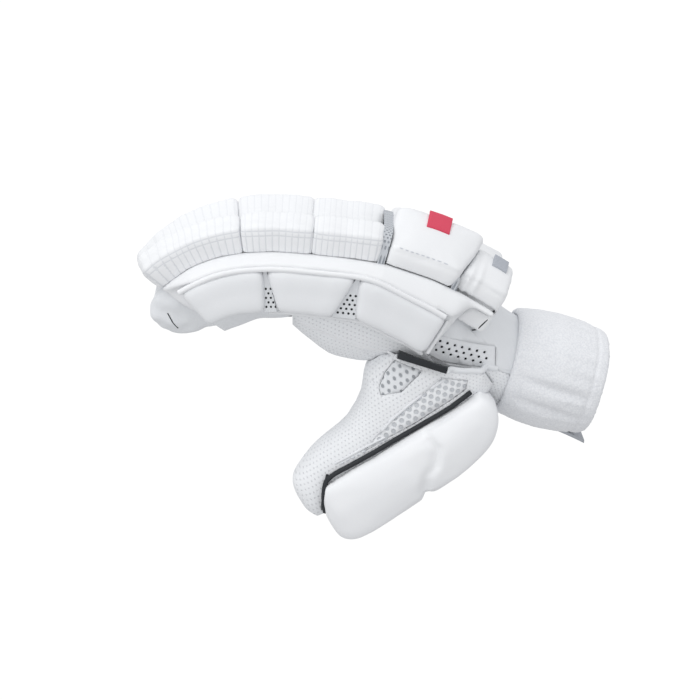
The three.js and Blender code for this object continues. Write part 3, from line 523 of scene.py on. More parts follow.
def draw_together(bm: Net, verts: Iterable[bmesh.types.BMVert], times: int) -> None:
    """Move points of a mesh towards their neighbours' middle, several times over."""
    for _ in range(times):
        bmesh.ops.smooth_vert(
            bm, verts=verts, factor=0.5, use_axis_x=True, use_axis_y=True, use_axis_z=True
        )


def remeshed(bm: Net, voxel: float, smooth: int) -> Net:
    """Turn a closed form into an even net of quads with soft edges.

    Args:
        bm: the form, which is freed.
        voxel: the net's spacing.
        smooth: how many times its points are drawn together.

    Returns:
        The new mesh.
    """
    piece = to_object(bm, "remesh")
    modifier = piece.modifiers.new("Remesh", "REMESH")
    modifier.mode = "VOXEL"
    modifier.voxel_size = voxel * MM
    graph = bpy.context.evaluated_depsgraph_get()
    soft = bmesh.new()
    soft.from_mesh(piece.evaluated_get(graph).to_mesh())
    data = piece.data
    bpy.data.objects.remove(piece)
    bpy.data.meshes.remove(data)
    draw_together(soft, soft.verts, smooth)
    return soft


def coords(mesh: bpy.types.Mesh) -> np.ndarray:
    """Return a mesh's points in millimetres."""
    flat = np.empty(len(mesh.vertices) * 3)
    mesh.vertices.foreach_get("co", flat)
    return flat.reshape(-1, 3) / MM


def set_coords(mesh: bpy.types.Mesh, points: np.ndarray) -> None:
    """Move a mesh's points to places in millimetres."""
    mesh.vertices.foreach_set("co", (points * MM).astype(np.float32).ravel())
    mesh.update()


def normals_of(mesh: bpy.types.Mesh) -> np.ndarray:
    """Return the normal at each of a mesh's points."""
    flat = np.empty(len(mesh.vertices) * 3)
    mesh.vertex_normals.foreach_get("vector", flat)
    return flat.reshape(-1, 3)


def store(mesh: bpy.types.Mesh, name: str, values: np.ndarray) -> None:
    """Keep a vector for each point of a mesh under a name."""
    layer = mesh.attributes.new(name, "FLOAT_VECTOR", "POINT")
    layer.data.foreach_set("vector", values.astype(np.float32).ravel())


def swell(piece: bpy.types.Object, cap: float, shrink: float = 0.4) -> None:
    """Blow a pad up a little, as its stuffing does, with a cloth simulation.

    Args:
        piece: a closed pad with an even net.
        cap: how far a point may move.
        shrink: how far the pad is drawn in first.
    """
    start = coords(piece.data) - normals_of(piece.data) * shrink
    set_coords(piece.data, start)
    modifier = piece.modifiers.new("Cloth", "CLOTH")
    modifier.settings.use_pressure = True
    modifier.settings.uniform_pressure_force = PRESSURE
    modifier.settings.effector_weights.gravity = 0
    scene = bpy.context.scene
    for frame in range(1, BLOWN_FRAME + 1):
        scene.frame_set(frame)
    blown = piece.evaluated_get(bpy.context.evaluated_depsgraph_get()).to_mesh()
    moved = coords(blown) - start
    far = np.linalg.norm(moved, axis=1, keepdims=True)
    piece.modifiers.remove(modifier)
    scene.frame_set(1)
    set_coords(piece.data, start + moved * np.minimum(1, cap / np.maximum(far, 1e-9)))


def ripple(points: np.ndarray, size: float, height: float, seed: float) -> np.ndarray:
    """Return a smooth random vector for each point, the same for neighbours.

    Args:
        points: places in millimetres.
        size: the width of a fold.
        height: how far a fold reaches.
        seed: a number that sets this pattern apart.

    Returns:
        One vector for each point.
    """
    shift = Vector((seed, seed * 1.7, seed * 2.3))
    return np.array([noise.noise_vector(Vector(p) / size + shift) for p in points]) * height


def finish_piece(
    piece: bpy.types.Object, finish: Finish, *nodes: str, smooth: float = 40
) -> bpy.types.Object:
    """Dress a piece, set its edges, hang it on the root body and hide the nodes that it replaces.

    Args:
        piece: the object.
        finish: its material.
        nodes: the nodes that it replaces.
        smooth: edges sharper than this many degrees stay hard.

    Returns:
        The piece.
    """
    piece.data.materials.clear()
    piece.data.materials.append(finish.material())
    piece.data.shade_smooth()
    piece.data.set_sharp_from_angle(angle=math.radians(smooth))
    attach(piece, "root")
    if nodes:
        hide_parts(*nodes)
    LOG.info("%s: %d faces", piece.name, len(piece.data.polygons))
    return piece


def tube(points: list[Vector], radius: float, name: str, sides: int = 3) -> bpy.types.Object:
    """Make a round cord through points.

    Args:
        points: places in millimetres.
        radius: the cord's radius.
        name: the new object's name.
        sides: how finely a quarter of its round section is cut.

    Returns:
        The cord as a mesh object.
    """
    curve = bpy.data.curves.new(name, "CURVE")
    curve.dimensions = "3D"
    curve.bevel_depth = radius * MM
    curve.bevel_resolution = sides
    curve.use_fill_caps = True
    curve.resolution_u = 6
    spline = curve.splines.new("NURBS")
    spline.points.add(len(points) - 1)
    for spot, point in zip(spline.points, points):
        spot.co = (*(point * MM), 1)
    spline.use_endpoint_u = True
    spline.order_u = 3
    carrier = bpy.data.objects.new(name, curve)
    bpy.context.scene.collection.objects.link(carrier)
    graph = bpy.context.evaluated_depsgraph_get()
    bm = bmesh.new()
    bm.from_mesh(carrier.evaluated_get(graph).to_mesh())
    bpy.data.objects.remove(carrier)
    bpy.data.curves.remove(curve)
    bmesh.ops.remove_doubles(bm, verts=bm.verts, dist=0.002 * MM)
    return to_object(bm, name)


def surfaces(pieces: Iterable[bpy.types.Object]) -> BVHTree:
    """Return a search tree over the pieces' surfaces."""
    corners: list[Vector] = []
    faces: list[list[int]] = []
    for piece in pieces:
        base = len(corners)
        corners.extend(vert.co.copy() for vert in piece.data.vertices)
        faces.extend([base + index for index in face.vertices] for face in piece.data.polygons)
    return BVHTree.FromPolygons(corners, faces)


def near_surface(tree: BVHTree, x: float, z: float) -> tuple[Vector | None, Vector | None]:
    """Return the nearest place of the surfaces at an x and z in millimetres, and its normal."""
    found, normal, _, _ = tree.ray_cast(Vector((x, OUTSIDE, z)) * MM, Vector((0, 1, 0)))
    return found, normal


def off_route(points: np.ndarray, route: list[tuple[float, float]]) -> np.ndarray:
    """Return how far each [x, z] point lies from a route of straight stretches."""
    best = np.full(len(points), np.inf)
    for start, end in zip(route, route[1:]):
        start, way = np.array(start), np.array(end) - np.array(start)
        share = np.clip(((points - start) @ way) / (way @ way), 0, 1)
        best = np.minimum(best, np.linalg.norm(points - start - share[:, None] * way, axis=1))
    return best


# The fingers' lines


@dataclass(frozen=True)
class Bend:
    """A bend of a finger: its place and length as shares of the finger, and its turn."""

    at: float
    over: float
    turn: float
    curls: bool


@dataclass
class FingerLine:
    """The line of a finger from the wrist to the tip, with a frame at each millimetre."""

    across: float
    lift: float
    reach: float = 1.0
    curl: float = 1.0
    roll: float = 0.0
    length: float = 190.0
    heel: float = -66.0
    rise: float = 47.5
    climb: float = 31.0
    pitch: float = 26.5
    bends: tuple[Bend, ...] = (
        Bend(0.17, 0.1, 12, False), Bend(0.36, 0.1, 13, False), Bend(0.65, 0.2, 12, True),
        Bend(0.79, 0.16, 20, True), Bend(0.93, 0.12, 35, True),
    )
    points: np.ndarray = field(init=False)
    frames: np.ndarray = field(init=False)

    def __post_init__(self) -> None:
        """Walk the line a millimetre at a time."""
        self.length *= self.reach
        count = int(self.length * 1.1) + 1
        slopes = self.slope(np.arange(count) + 0.5)
        moves = np.stack([-np.cos(slopes), np.zeros(count), np.sin(slopes)], axis=1)
        start = np.array([self.heel, self.across * self.pitch, self.rise + self.lift * self.pitch])
        self.points = np.vstack([start, start + np.cumsum(moves, axis=0)])
        at = self.slope(np.arange(count + 1).astype(float))
        zero = np.zeros(count + 1)
        along = np.stack([-np.cos(at), zero, np.sin(at)], axis=1)
        level = np.stack([np.sin(at), zero, np.cos(at)], axis=1)
        far = np.tile([0.0, 1.0, 0.0], (count + 1, 1))
        turn = math.radians(self.roll)
        across = far * math.cos(turn) - level * math.sin(turn)
        self.frames = np.stack([along, across, level * math.cos(turn) + far * math.sin(turn)], axis=1)

    def slope(self, s: np.ndarray) -> np.ndarray:
        """Return the line's slope in radians at distances along it."""
        turned = np.zeros_like(s, dtype=float)
        for bend in self.bends:
            share = np.clip((s - (bend.at - bend.over / 2) * self.length) / (bend.over * self.length), 0, 1)
            turned += eased(share) * bend.turn * (self.curl if bend.curls else 1)
        return np.radians(self.climb - turned)

    def frames_at(self, s: np.ndarray) -> np.ndarray:
        """Return the along, across and up vectors at distances along the line."""
        return self.frames[np.clip(np.round(s).astype(int), 0, len(self.frames) - 1)]

    def locate(self, points: np.ndarray) -> np.ndarray:
        """Return how far along, across and above the line each point lies."""
        gaps = points[:, None, ::2] - self.points[None, :, ::2]
        nearest = np.argmin((gaps**2).sum(axis=2), axis=1)
        off = points - self.points[nearest]
        parts = np.einsum("ij,ikj->ik", off, self.frames[nearest])
        parts[:, 0] += nearest
        return parts

    def place(self, s: float, v: float, w: float) -> Vector:
        """Return the point at a distance along, across and above the line."""
        whole = int(min(max(s, 0), len(self.points) - 1))
        along, across, up = self.frames[whole]
        return Vector(self.points[whole] + along * (s - whole) + across * v + up * w)


FINGERS = {
    "index": FingerLine(-1.4, 0, 1, 1, -10),
    "middle": FingerLine(-0.37, 0.06, 1.02, 1.22, 0),
    "ring": FingerLine(0.66, -0.2, 0.98, 1.3, 9),
    "little": FingerLine(1.68, -0.5, 0.88, 1.4, 18),
}
# The line of the hand pad on the near side.
HAND_LINE = FingerLine(-0.925, 0.03, roll=-5)


# The glove's sub-assemblies


@dataclass
class Rolls:
    """Three scored rolls of padding on each finger.

    voxels holds the net's spacing on each finger, score and rail_depth how deep the
    lines lie, with score_width and rail_width as half their widths, closing how far
    a roll reaches towards the next one and lift how far the index finger's near
    shoulder is raised. faint raises the height that the far fingers' leather reads,
    so that its lines and their painted shade are as faint as over a crown.
    """

    nodes: dict[str, bpy.types.Object]
    voxels: tuple[float, ...] = (0.8, 0.9, 1.1, 1.1)
    score: float = 0.08
    score_width: float = 0.5
    rail_depth: float = 0.14
    rail_width: float = 0.6
    closing: float = 0.5
    lift: float = 3.4
    shoulder: tuple[float, float] = (-2.0, 15.0)
    shoulder_width: float = 9.0
    shoulder_height: float = 7.0
    faint: float = 40.0

    def build(self) -> None:
        """Build and dress each roll."""
        for (finger, line), voxel in zip(FINGERS.items(), self.voxels):
            for part in ("base", "mid", "tip"):
                name = f"{finger}_roll_{part}"
                soft = remeshed(curve_out(copy_of(self.nodes[name]), 1, 60), voxel, 4)
                piece = to_object(soft, f"scored_{name}")
                if finger == "index":
                    self.square(piece.data, line)
                self.press(piece.data, line)
                finish_piece(piece, ROLL_LEATHER, name)

    def square(self, mesh: bpy.types.Mesh, line: FingerLine) -> None:
        """Raise the near shoulder of a roll, so that its side face stands taller."""
        points = coords(mesh)
        run = line.locate(points)
        near = np.clip((self.shoulder[0] - run[:, 1]) / self.shoulder_width, 0, 1)
        high = np.clip((run[:, 2] - self.shoulder[1]) / self.shoulder_height, 0, 1)
        up = line.frames_at(run[:, 0])[:, 2]
        set_coords(mesh, points + up * (self.lift * eased(near) * high)[:, None])

    def press(self, mesh: bpy.types.Mesh, line: FingerLine) -> None:
        """Draw a roll's ends towards its neighbours and press the lines into its leather."""
        points, facing = coords(mesh), normals_of(mesh)
        run = line.locate(points)
        along = line.frames_at(run[:, 0])[:, 0]
        ahead = np.einsum("ij,ij->i", facing, along)
        ends = np.sign(ahead) * np.clip(np.abs(ahead) * 2 - 0.6, 0, 1)
        points = points + along * (self.closing * ends)[:, None]
        off = np.abs((run[:, 0] / SCORE_PITCH) % 1 - 0.5) * SCORE_PITCH
        depth = self.score * np.exp(-((off / self.score_width) ** 2))
        for rail in RAILS:
            pressed = np.exp(-(((run[:, 2] - rail) / self.rail_width) ** 2))
            depth += self.rail_depth * pressed * (run[:, 1] < 0)
        depth *= np.clip(1.6 - 2 * np.abs(ahead), 0, 1)
        set_coords(mesh, points - facing * depth[:, None])
        if line is not FINGERS["index"]:
            run[:, 2] += self.faint
        store(mesh, RUN, run)


@dataclass(frozen=True)
class BackPad:
    """One pad of the back: its node, its line and how high above it its shoulder lies."""

    name: str
    across: float
    lift: float
    roll: float
    shoulder: float


@dataclass
class BackPads:
    """Wide pads on the back of the hand and above the wrist.

    seam_drop says how far under the shoulder the seam lies. The pads above the wrist
    have two welts up their sides, at welts along the line.
    """

    nodes: dict[str, bpy.types.Object]
    voxel: float = 1.4
    swelling: float = 1.6
    seam_drop: float = 4.2
    seam_depth: float = 0.7
    seam_width: float = 0.9
    welts: tuple[float, float] = (17.0, 22.0)
    welt_size: float = 1.1
    pads: tuple[BackPad, ...] = (
        BackPad("hand_pad_near", -0.925, 0.03, -5, 24.6), BackPad("hand_pad_far", 1.17, -0.3, 13, 24.6),
        BackPad("wrist_pad_near", -0.85, 0.03, -6, 24.4), BackPad("wrist_pad_far", 0.93, -0.16, 12, 24.4),
    )

    def build(self) -> None:
        """Build and dress the four pads."""
        for pad in self.pads:
            self.pad(pad, FingerLine(pad.across, pad.lift, roll=pad.roll))

    def pad(self, pad: BackPad, line: FingerLine) -> None:
        """Build one pad with the seam under its shoulder."""
        soft = remeshed(curve_out(copy_of(self.nodes[pad.name]), 1, 50), self.voxel, 4)
        piece = to_object(soft, f"soft_{pad.name}")
        swell(piece, self.swelling)
        points, facing = coords(piece.data), normals_of(piece.data)
        run = line.locate(points)
        upright = np.abs(facing[:, 1])
        seam_at = pad.shoulder - self.seam_drop
        depth = self.seam_depth * np.exp(-(((run[:, 2] - seam_at) / self.seam_width) ** 2)) * upright
        if pad.name.startswith("wrist"):
            for welt in self.welts:
                depth -= self.welt_size * np.exp(-(((run[:, 0] - welt) / self.welt_size) ** 2)) * upright
        set_coords(piece.data, points - facing * depth[:, None])
        finish_piece(piece, SMOOTH_LEATHER, pad.name)


@dataclass
class SideBar:
    """The bar along the index finger, its three pads and their piping.

    The bevel reaches fan_drop further down at the wrist and none after the share
    fan_over from fan_from on. gussets holds, for each space between two pads, where
    it starts and ends along the bar at the bottom and at the top, and off and low
    where they stand.
    """

    nodes: dict[str, bpy.types.Object]
    voxel: float = 1.1
    face: float = -50.0
    heel_end: float = 32.0
    heel_smoothing: int = 24
    fan_from: float = 0.12
    fan_over: float = 0.32
    fan_drop: float = 6.5
    welt_radius: float = 1.5
    welt_off: float = -10.7
    welt_rise: float = 2.6
    gusset_off: float = -8.6
    gusset_low: float = -21.5
    gusset_height: float = 23.0
    gusset_wall: float = 2.0
    gussets: tuple[tuple[tuple[float, float], ...], ...] = (
        ((75.6, 88.6), (75.6, 77.4)), ((119.4, 127.3), (125.6, 127.3)),
    )

    def build(self) -> None:
        """Build and dress the bar, the pads and the piping."""
        line = FingerLine(self.face / FingerLine.pitch, 0)
        soft = remeshed(curve_out(copy_of(self.nodes["side_bar"]), 1, 40), self.voxel, 4)
        run = line.locate(np.array([vert.co for vert in soft.verts]) / MM)
        heel = [vert for vert, s in zip(soft.verts, run[:, 0]) if s < self.heel_end]
        draw_together(soft, heel, self.heel_smoothing)
        bar = to_object(soft, "bevelled_side_bar")
        finish_piece(bar, SMOOTH_LEATHER, "side_bar")
        for name in ("side_pad_base", "side_pad_mid", "side_pad_tip"):
            soft = remeshed(curve_out(copy_of(self.nodes[name]), 1, 40), self.voxel, 5)
            piece = to_object(soft, f"smooth_{name}")
            # The side pads' leather is a little darker, as painted shade.
            finish_piece(piece, SHADED_PAD_LEATHER, name)
        for name in ("side_piping", "heel_piping"):
            piece = to_object(curve_out(copy_of(self.nodes[name]), 2, 75), f"white_{name}")
            finish_piece(piece, SMOOTH_LEATHER, name)
        self.welt(line)
        for number, corners in enumerate(self.gussets):
            self.gusset(line, corners, f"perforated_gusset_{number}")

    def fan(self, s: float) -> float:
        """Return how much further down the bevel reaches towards the wrist."""
        share = min(max((s / FingerLine.length - self.fan_from) / self.fan_over, 0), 1)
        return self.fan_drop * (1 - eased(share))

    def welt(self, line: FingerLine) -> None:
        """Lay a soft welt in the fold between the bevel and the pads."""
        points = [line.place(s, self.welt_off, self.welt_rise - self.fan(s)) for s in range(25, 174, 4)]
        finish_piece(tube(points, self.welt_radius, "bevel_welt"), SMOOTH_LEATHER)

    def gusset(self, line: FingerLine, corners: tuple[tuple[float, float], ...], name: str) -> None:
        """Fill the space between two pads with perforated leather, darkened and with black holes as painted
        shade.
        """
        bm = bmesh.new()
        bmesh.ops.create_grid(bm, x_segments=6, y_segments=12, size=1)
        (left_low, right_low), (left_high, right_high) = corners
        for vert in bm.verts:
            across, up = (vert.co.x + 1) / 2, (vert.co.y + 1) / 2
            left = left_low + (left_high - left_low) * up
            right = right_low + (right_high - right_low) * up
            s = left + (right - left) * across
            w = self.gusset_low + self.gusset_height * up - self.fan(s)
            vert.co = line.place(s, self.gusset_off, w) * MM
        bmesh.ops.recalc_face_normals(bm, faces=bm.faces)
        bm.faces.ensure_lookup_table()
        if bm.faces[0].normal.y > 0:
            bmesh.ops.reverse_faces(bm, faces=bm.faces)
        bmesh.ops.solidify(bm, geom=bm.faces, thickness=self.gusset_wall * MM)
        piece = to_object(bm, name)
        store(piece.data, CLOTH, line.locate(coords(piece.data))[:, [0, 2, 1]])
        finish_piece(piece, GUSSET_LEATHER)


@dataclass
class ThumbGuard:
    """The guard round the outer side of the thumb, quilted in two, and its piping.

    parting is the seam between its halves, as distances along the thumb and off its
    line. closing is how far each half moves to the other, and valley how deep the
    seam is drawn in, fading towards the piping over fading from inner on.
    """

    nodes: dict[str, bpy.types.Object]
    voxel: float = 1.5
    swelling: float = 1.4
    parting: tuple[tuple[float, float], ...] = (
        (12.0, 0.3), (10.1, 16.4), (9.2, 24.5), (14.7, 33.3), (23.0, 37.3), (27.6, 44.6), (31.3, 64.7),
    )
    closing: float = 1.1
    inner: float = 13.0
    fading: float = 8.0
    valley: float = 2.6
    valley_width: float = 2.8
    shallowest: float = 0.45

    def build(self) -> None:
        """Build and dress the guard and the piping."""
        turn = math.radians(THUMB_SLOPE)
        along = Vector((-math.cos(turn), 0, -math.sin(turn)))
        both = bmesh.new()
        for name, way in (("thumb_pad_base", 1), ("thumb_pad_tip", -1)):
            half = curve_out(copy_of(self.nodes[name]), 1, 55)
            bmesh.ops.translate(half, vec=along * (way * self.closing * MM), verts=half.verts)
            spare = bpy.data.meshes.new("half")
            half.to_mesh(spare)
            half.free()
            both.from_mesh(spare)
            bpy.data.meshes.remove(spare)
        piece = to_object(remeshed(both, self.voxel, 7), "quilted_thumb_guard")
        swell(piece, self.swelling)
        points, facing = coords(piece.data), normals_of(piece.data)
        off = off_route(points[:, ::2], [self.place(*spot) for spot in self.parting])
        inward = np.clip((self.off_line(points) - self.inner) / self.fading, 0, 1)
        outward = np.clip(1 + np.minimum(0, facing[:, 1] + 0.2) * -1.2, self.shallowest, 1)
        depth = self.valley * np.exp(-((off / self.valley_width) ** 2)) * inward * outward
        set_coords(piece.data, points - facing * depth[:, None])
        # The guard's leather is a little lighter, as painted light.
        finish_piece(piece, LIT_GUARD_LEATHER, "thumb_pad_base", "thumb_pad_tip", smooth=70)
        piping = to_object(curve_out(copy_of(self.nodes["thumb_piping"]), 2, 75), "black_thumb_piping")
        finish_piece(piping, BLACK_TAPE, "thumb_piping")

    def off_line(self, points: np.ndarray) -> np.ndarray:
        """Return how far each point lies off the thumb's line, towards its outer side."""
        turn = math.radians(THUMB_SLOPE)
        x, z = points[:, 0] - THUMB_ROOT[0], points[:, 2] - THUMB_ROOT[1]
        return x * math.sin(turn) - z * math.cos(turn)

    def place(self, along: float, off: float) -> tuple[float, float]:
        """Return the [x, z] place at a distance along the thumb and off its line."""
        turn = math.radians(THUMB_SLOPE)
        x = THUMB_ROOT[0] - along * math.cos(turn) + off * math.sin(turn)
        z = THUMB_ROOT[1] - along * math.sin(turn) - off * math.cos(turn)
        return x, z


@dataclass(frozen=True)
class Axis:
    """An axis that cloth is laid round: a point on it, its fall in degrees and the cloth's radius.

    cut is 1 where the cloth meets itself on the lower side and -1 on the upper one.
    """

    root: tuple[float, float, float]
    fall: float
    radius: float
    cut: int

    def laid(self, points: np.ndarray) -> np.ndarray:
        """Return each point's place on the cloth, along the axis and round it."""
        turn = math.radians(self.fall)
        along = np.array([-math.cos(turn), 0, -math.sin(turn)])
        up = np.array([-math.sin(turn), 0, math.cos(turn)])
        off = points - np.array(self.root)
        angle = np.arctan2(-off[:, 1], -self.cut * (off @ up))
        return np.stack([off @ along, angle * self.radius, np.zeros(len(points))], axis=1)


@dataclass
class Shell:
    """The leather and mesh that the padding is sewn to.

    The fields on holes place the side panel's holes on its near side, where dark discs lie
    under them as painted shade inside the holes. folds holds the width and height of the
    leather's folds, and tip_folds those past tip_from, where the finger ends are crumpled.
    """

    nodes: dict[str, bpy.types.Object]
    hole_start: tuple[float, float] = (-95.1, 40.2)
    hole_pitch: float = 4.45
    hole_gap: float = 2.9
    hole_slope: float = 20.0
    hole_rows: tuple[int, int] = (3, 8)
    # The dark discs under the holes, which are painted shade inside them: their radius, and their depth under
    # the surface.
    shade_radius: float = 0.95
    shade_depth: float = 0.45
    rim_off: float = 1.3
    hand: Axis = Axis((-60.0, 0.0, 12.0), -25.0, 38.0, 1)
    thumb: Axis = Axis((THUMB_ROOT[0], -28.0, THUMB_ROOT[1]), THUMB_SLOPE, 22.0, -1)
    folds: tuple[float, float] = (22.0, 0.7)
    finger_folds: tuple[float, float] = (14.0, 1.0)
    tip_folds: tuple[float, float] = (7.0, 1.3)
    tip_from: float = -205.0
    tip_over: float = 25.0

    def build(self) -> None:
        """Build and dress every part of the shell."""
        for name, finish, axis in (
            ("palm_panel", PALM_LEATHER, self.hand),
            ("back_panel", PLAIN_LEATHER, self.hand),
            ("side_panel", PLAIN_LEATHER, self.hand),
            ("thumb_stall", PALM_LEATHER, self.thumb),
            ("thumb_mesh", MESH_FABRIC, self.thumb),
            ("web_mesh", WEB_FABRIC, self.thumb),
        ):
            self.part(name, finish, axis)
        self.hole_shades()
        for finger in FINGERS:
            name = f"{finger}_stall"
            piece = to_object(curve_out(copy_of(self.nodes[name]), 3, 50), f"leather_{name}")
            points = coords(piece.data)
            near_tip = np.clip((self.tip_from - points[:, 0]) / self.tip_over, 0, 1)[:, None]
            crumpled = ripple(points, *self.tip_folds, 5) * near_tip
            set_coords(piece.data, points + ripple(points, *self.finger_folds, 3) + crumpled)
            finish_piece(piece, PLAIN_LEATHER, name)

    def hole_shades(self) -> None:
        """Lay a dark disc under each hole of the side panel, as painted shade inside it."""
        panel = bmesh.new()
        panel.from_mesh(self.nodes["palm_panel"].data)
        panel.from_mesh(self.nodes["side_panel"].data)
        tree = BVHTree.FromBMesh(panel)
        panel.free()
        turn = math.radians(self.hole_slope)
        shades = bmesh.new()
        rows, columns = self.hole_rows
        for row, column in ((r, c) for r in range(rows) for c in range(columns)):
            along = (column + (row % 2) / 2) * self.hole_pitch
            x = self.hole_start[0] + along * math.cos(turn) - row * self.hole_gap * math.sin(turn)
            z = self.hole_start[1] - along * math.sin(turn) - row * self.hole_gap * math.cos(turn)
            rim, facing = near_surface(tree, x + self.rim_off, z)
            if not rim or abs(facing.y) < 0.3:
                continue
            radius = self.shade_radius * MM
            disc = bmesh.ops.create_circle(shades, cap_ends=True, segments=10, radius=radius)["verts"]
            turned = facing.to_track_quat("Z", "X").to_matrix()
            bmesh.ops.rotate(shades, cent=(0, 0, 0), matrix=turned, verts=disc)
            spot = np.array([[x, rim.y / MM + self.shade_depth, z]])
            spot += ripple(spot, *self.folds, 7)
            bmesh.ops.translate(shades, vec=spot[0] * MM, verts=disc)
        finish_piece(to_object(shades, "side_hole_lining"), HOLE_SHADE)

    def part(self, name: str, finish: Finish, axis: Axis) -> None:
        """Build one part, with its cloth laid round the axis of the hand or thumb."""
        piece = to_object(curve_out(copy_of(self.nodes[name]), 2, 45), f"sewn_{name}")
        points = coords(piece.data)
        store(piece.data, CLOTH, axis.laid(points))
        set_coords(piece.data, points + ripple(points, *self.folds, 7))
        finish_piece(piece, finish, name)


@dataclass
class Wristband:
    """The towelling band and the tab of its closure.

    climb is the band's slope. loop and tuft are the width and height of its loops,
    and folds the width and height of its folds.
    """

    nodes: dict[str, bpy.types.Object]
    voxel: float = 1.0
    climb: float = 15.0
    seam_at: float = 7.0
    seam_depth: float = 0.7
    seam_width: float = 1.0
    loop: float = 1.5
    tuft: float = 0.28
    folds: tuple[float, float] = (26.0, 0.6)

    def build(self) -> None:
        """Build and dress the band and the tab."""
        soft = remeshed(curve_out(copy_of(self.nodes["wristband"]), 2, 60), self.voxel, 4)
        band = to_object(soft, "towelling_wristband")
        points, facing = coords(band.data), normals_of(band.data)
        turn = math.radians(self.climb)
        along = points @ np.array([-math.cos(turn), 0, math.sin(turn)])
        depth = self.seam_depth * np.exp(-(((along - self.seam_at) / self.seam_width) ** 2))
        loops = np.array([noise.noise(Vector(p) / self.loop) for p in points]) * self.tuft
        folds = ripple(points, *self.folds, 11)
        set_coords(band.data, points + folds + facing * (loops - depth)[:, None])
        finish_piece(band, TERRY, "wristband", smooth=80)
        tab = to_object(curve_out(copy_of(self.nodes["closing_tab"]), 2, 60), "hook_closing_tab")
        finish_piece(tab, HOOK_TAPE, "closing_tab")


@dataclass(frozen=True)
class Fold:
    """A strip in a fold: its start and end along the hand, and half its width.

    low and top are its heights at the sides and on top, and lean is how far its sides
    slope to the wrist.
    """

    name: str
    start: float
    end: float
    half: float
    low: float
    top: float
    lean: float


@dataclass
class Channels:
    """Strips of mesh at the bottom of the folds before and behind the near hand pad.

    squareness shapes a strip's section, crown is its rise in the middle and wall its
    thickness.
    """

    squareness: float = 0.35
    crown: float = 5.0
    wall: float = 1.2
    strips: tuple[Fold, ...] = (
        Fold("knuckle_channel", 64.9, 68.2, 25.0, 3.0, 21.8, 0.0),
        Fold("wrist_channel", 28.0, 31.0, 23.6, 2.0, 21.4, 5.6),
    )

    def build(self) -> None:
        """Build both strips."""
        for fold in self.strips:
            self.strip(fold)

    def strip(self, fold: Fold) -> None:
        """Lay one strip across the hand, up its near side, over it and down again."""
        bm = bmesh.new()
        bmesh.ops.create_grid(bm, x_segments=4, y_segments=48, size=1)
        for vert in bm.verts:
            turn = vert.co.y * math.pi / 2
            side, up = math.sin(turn), math.cos(turn)
            v = fold.half * math.copysign(abs(side) ** self.squareness, side)
            w = fold.low + (fold.top - fold.low) * abs(up) ** self.squareness + self.crown * up**2
            s = fold.start + (fold.end - fold.start) * (vert.co.x + 1) / 2 - fold.lean * (1 - w / fold.top)
            vert.co = HAND_LINE.place(s, v, w) * MM
        bmesh.ops.recalc_face_normals(bm, faces=bm.faces)
        bmesh.ops.solidify(bm, geom=bm.faces, thickness=self.wall * MM)
        piece = to_object(bm, fold.name)
        store(piece.data, CLOTH, HAND_LINE.locate(coords(piece.data)))
        finish_piece(piece, CHANNEL_FABRIC)


@dataclass(frozen=True)
class Seam:
    """A round seam: its radius, how much of it stands out, and its route as [x, z] places."""

    name: str
    edging: Edging
    radius: float
    proud: float
    route: tuple[tuple[float, float], ...]


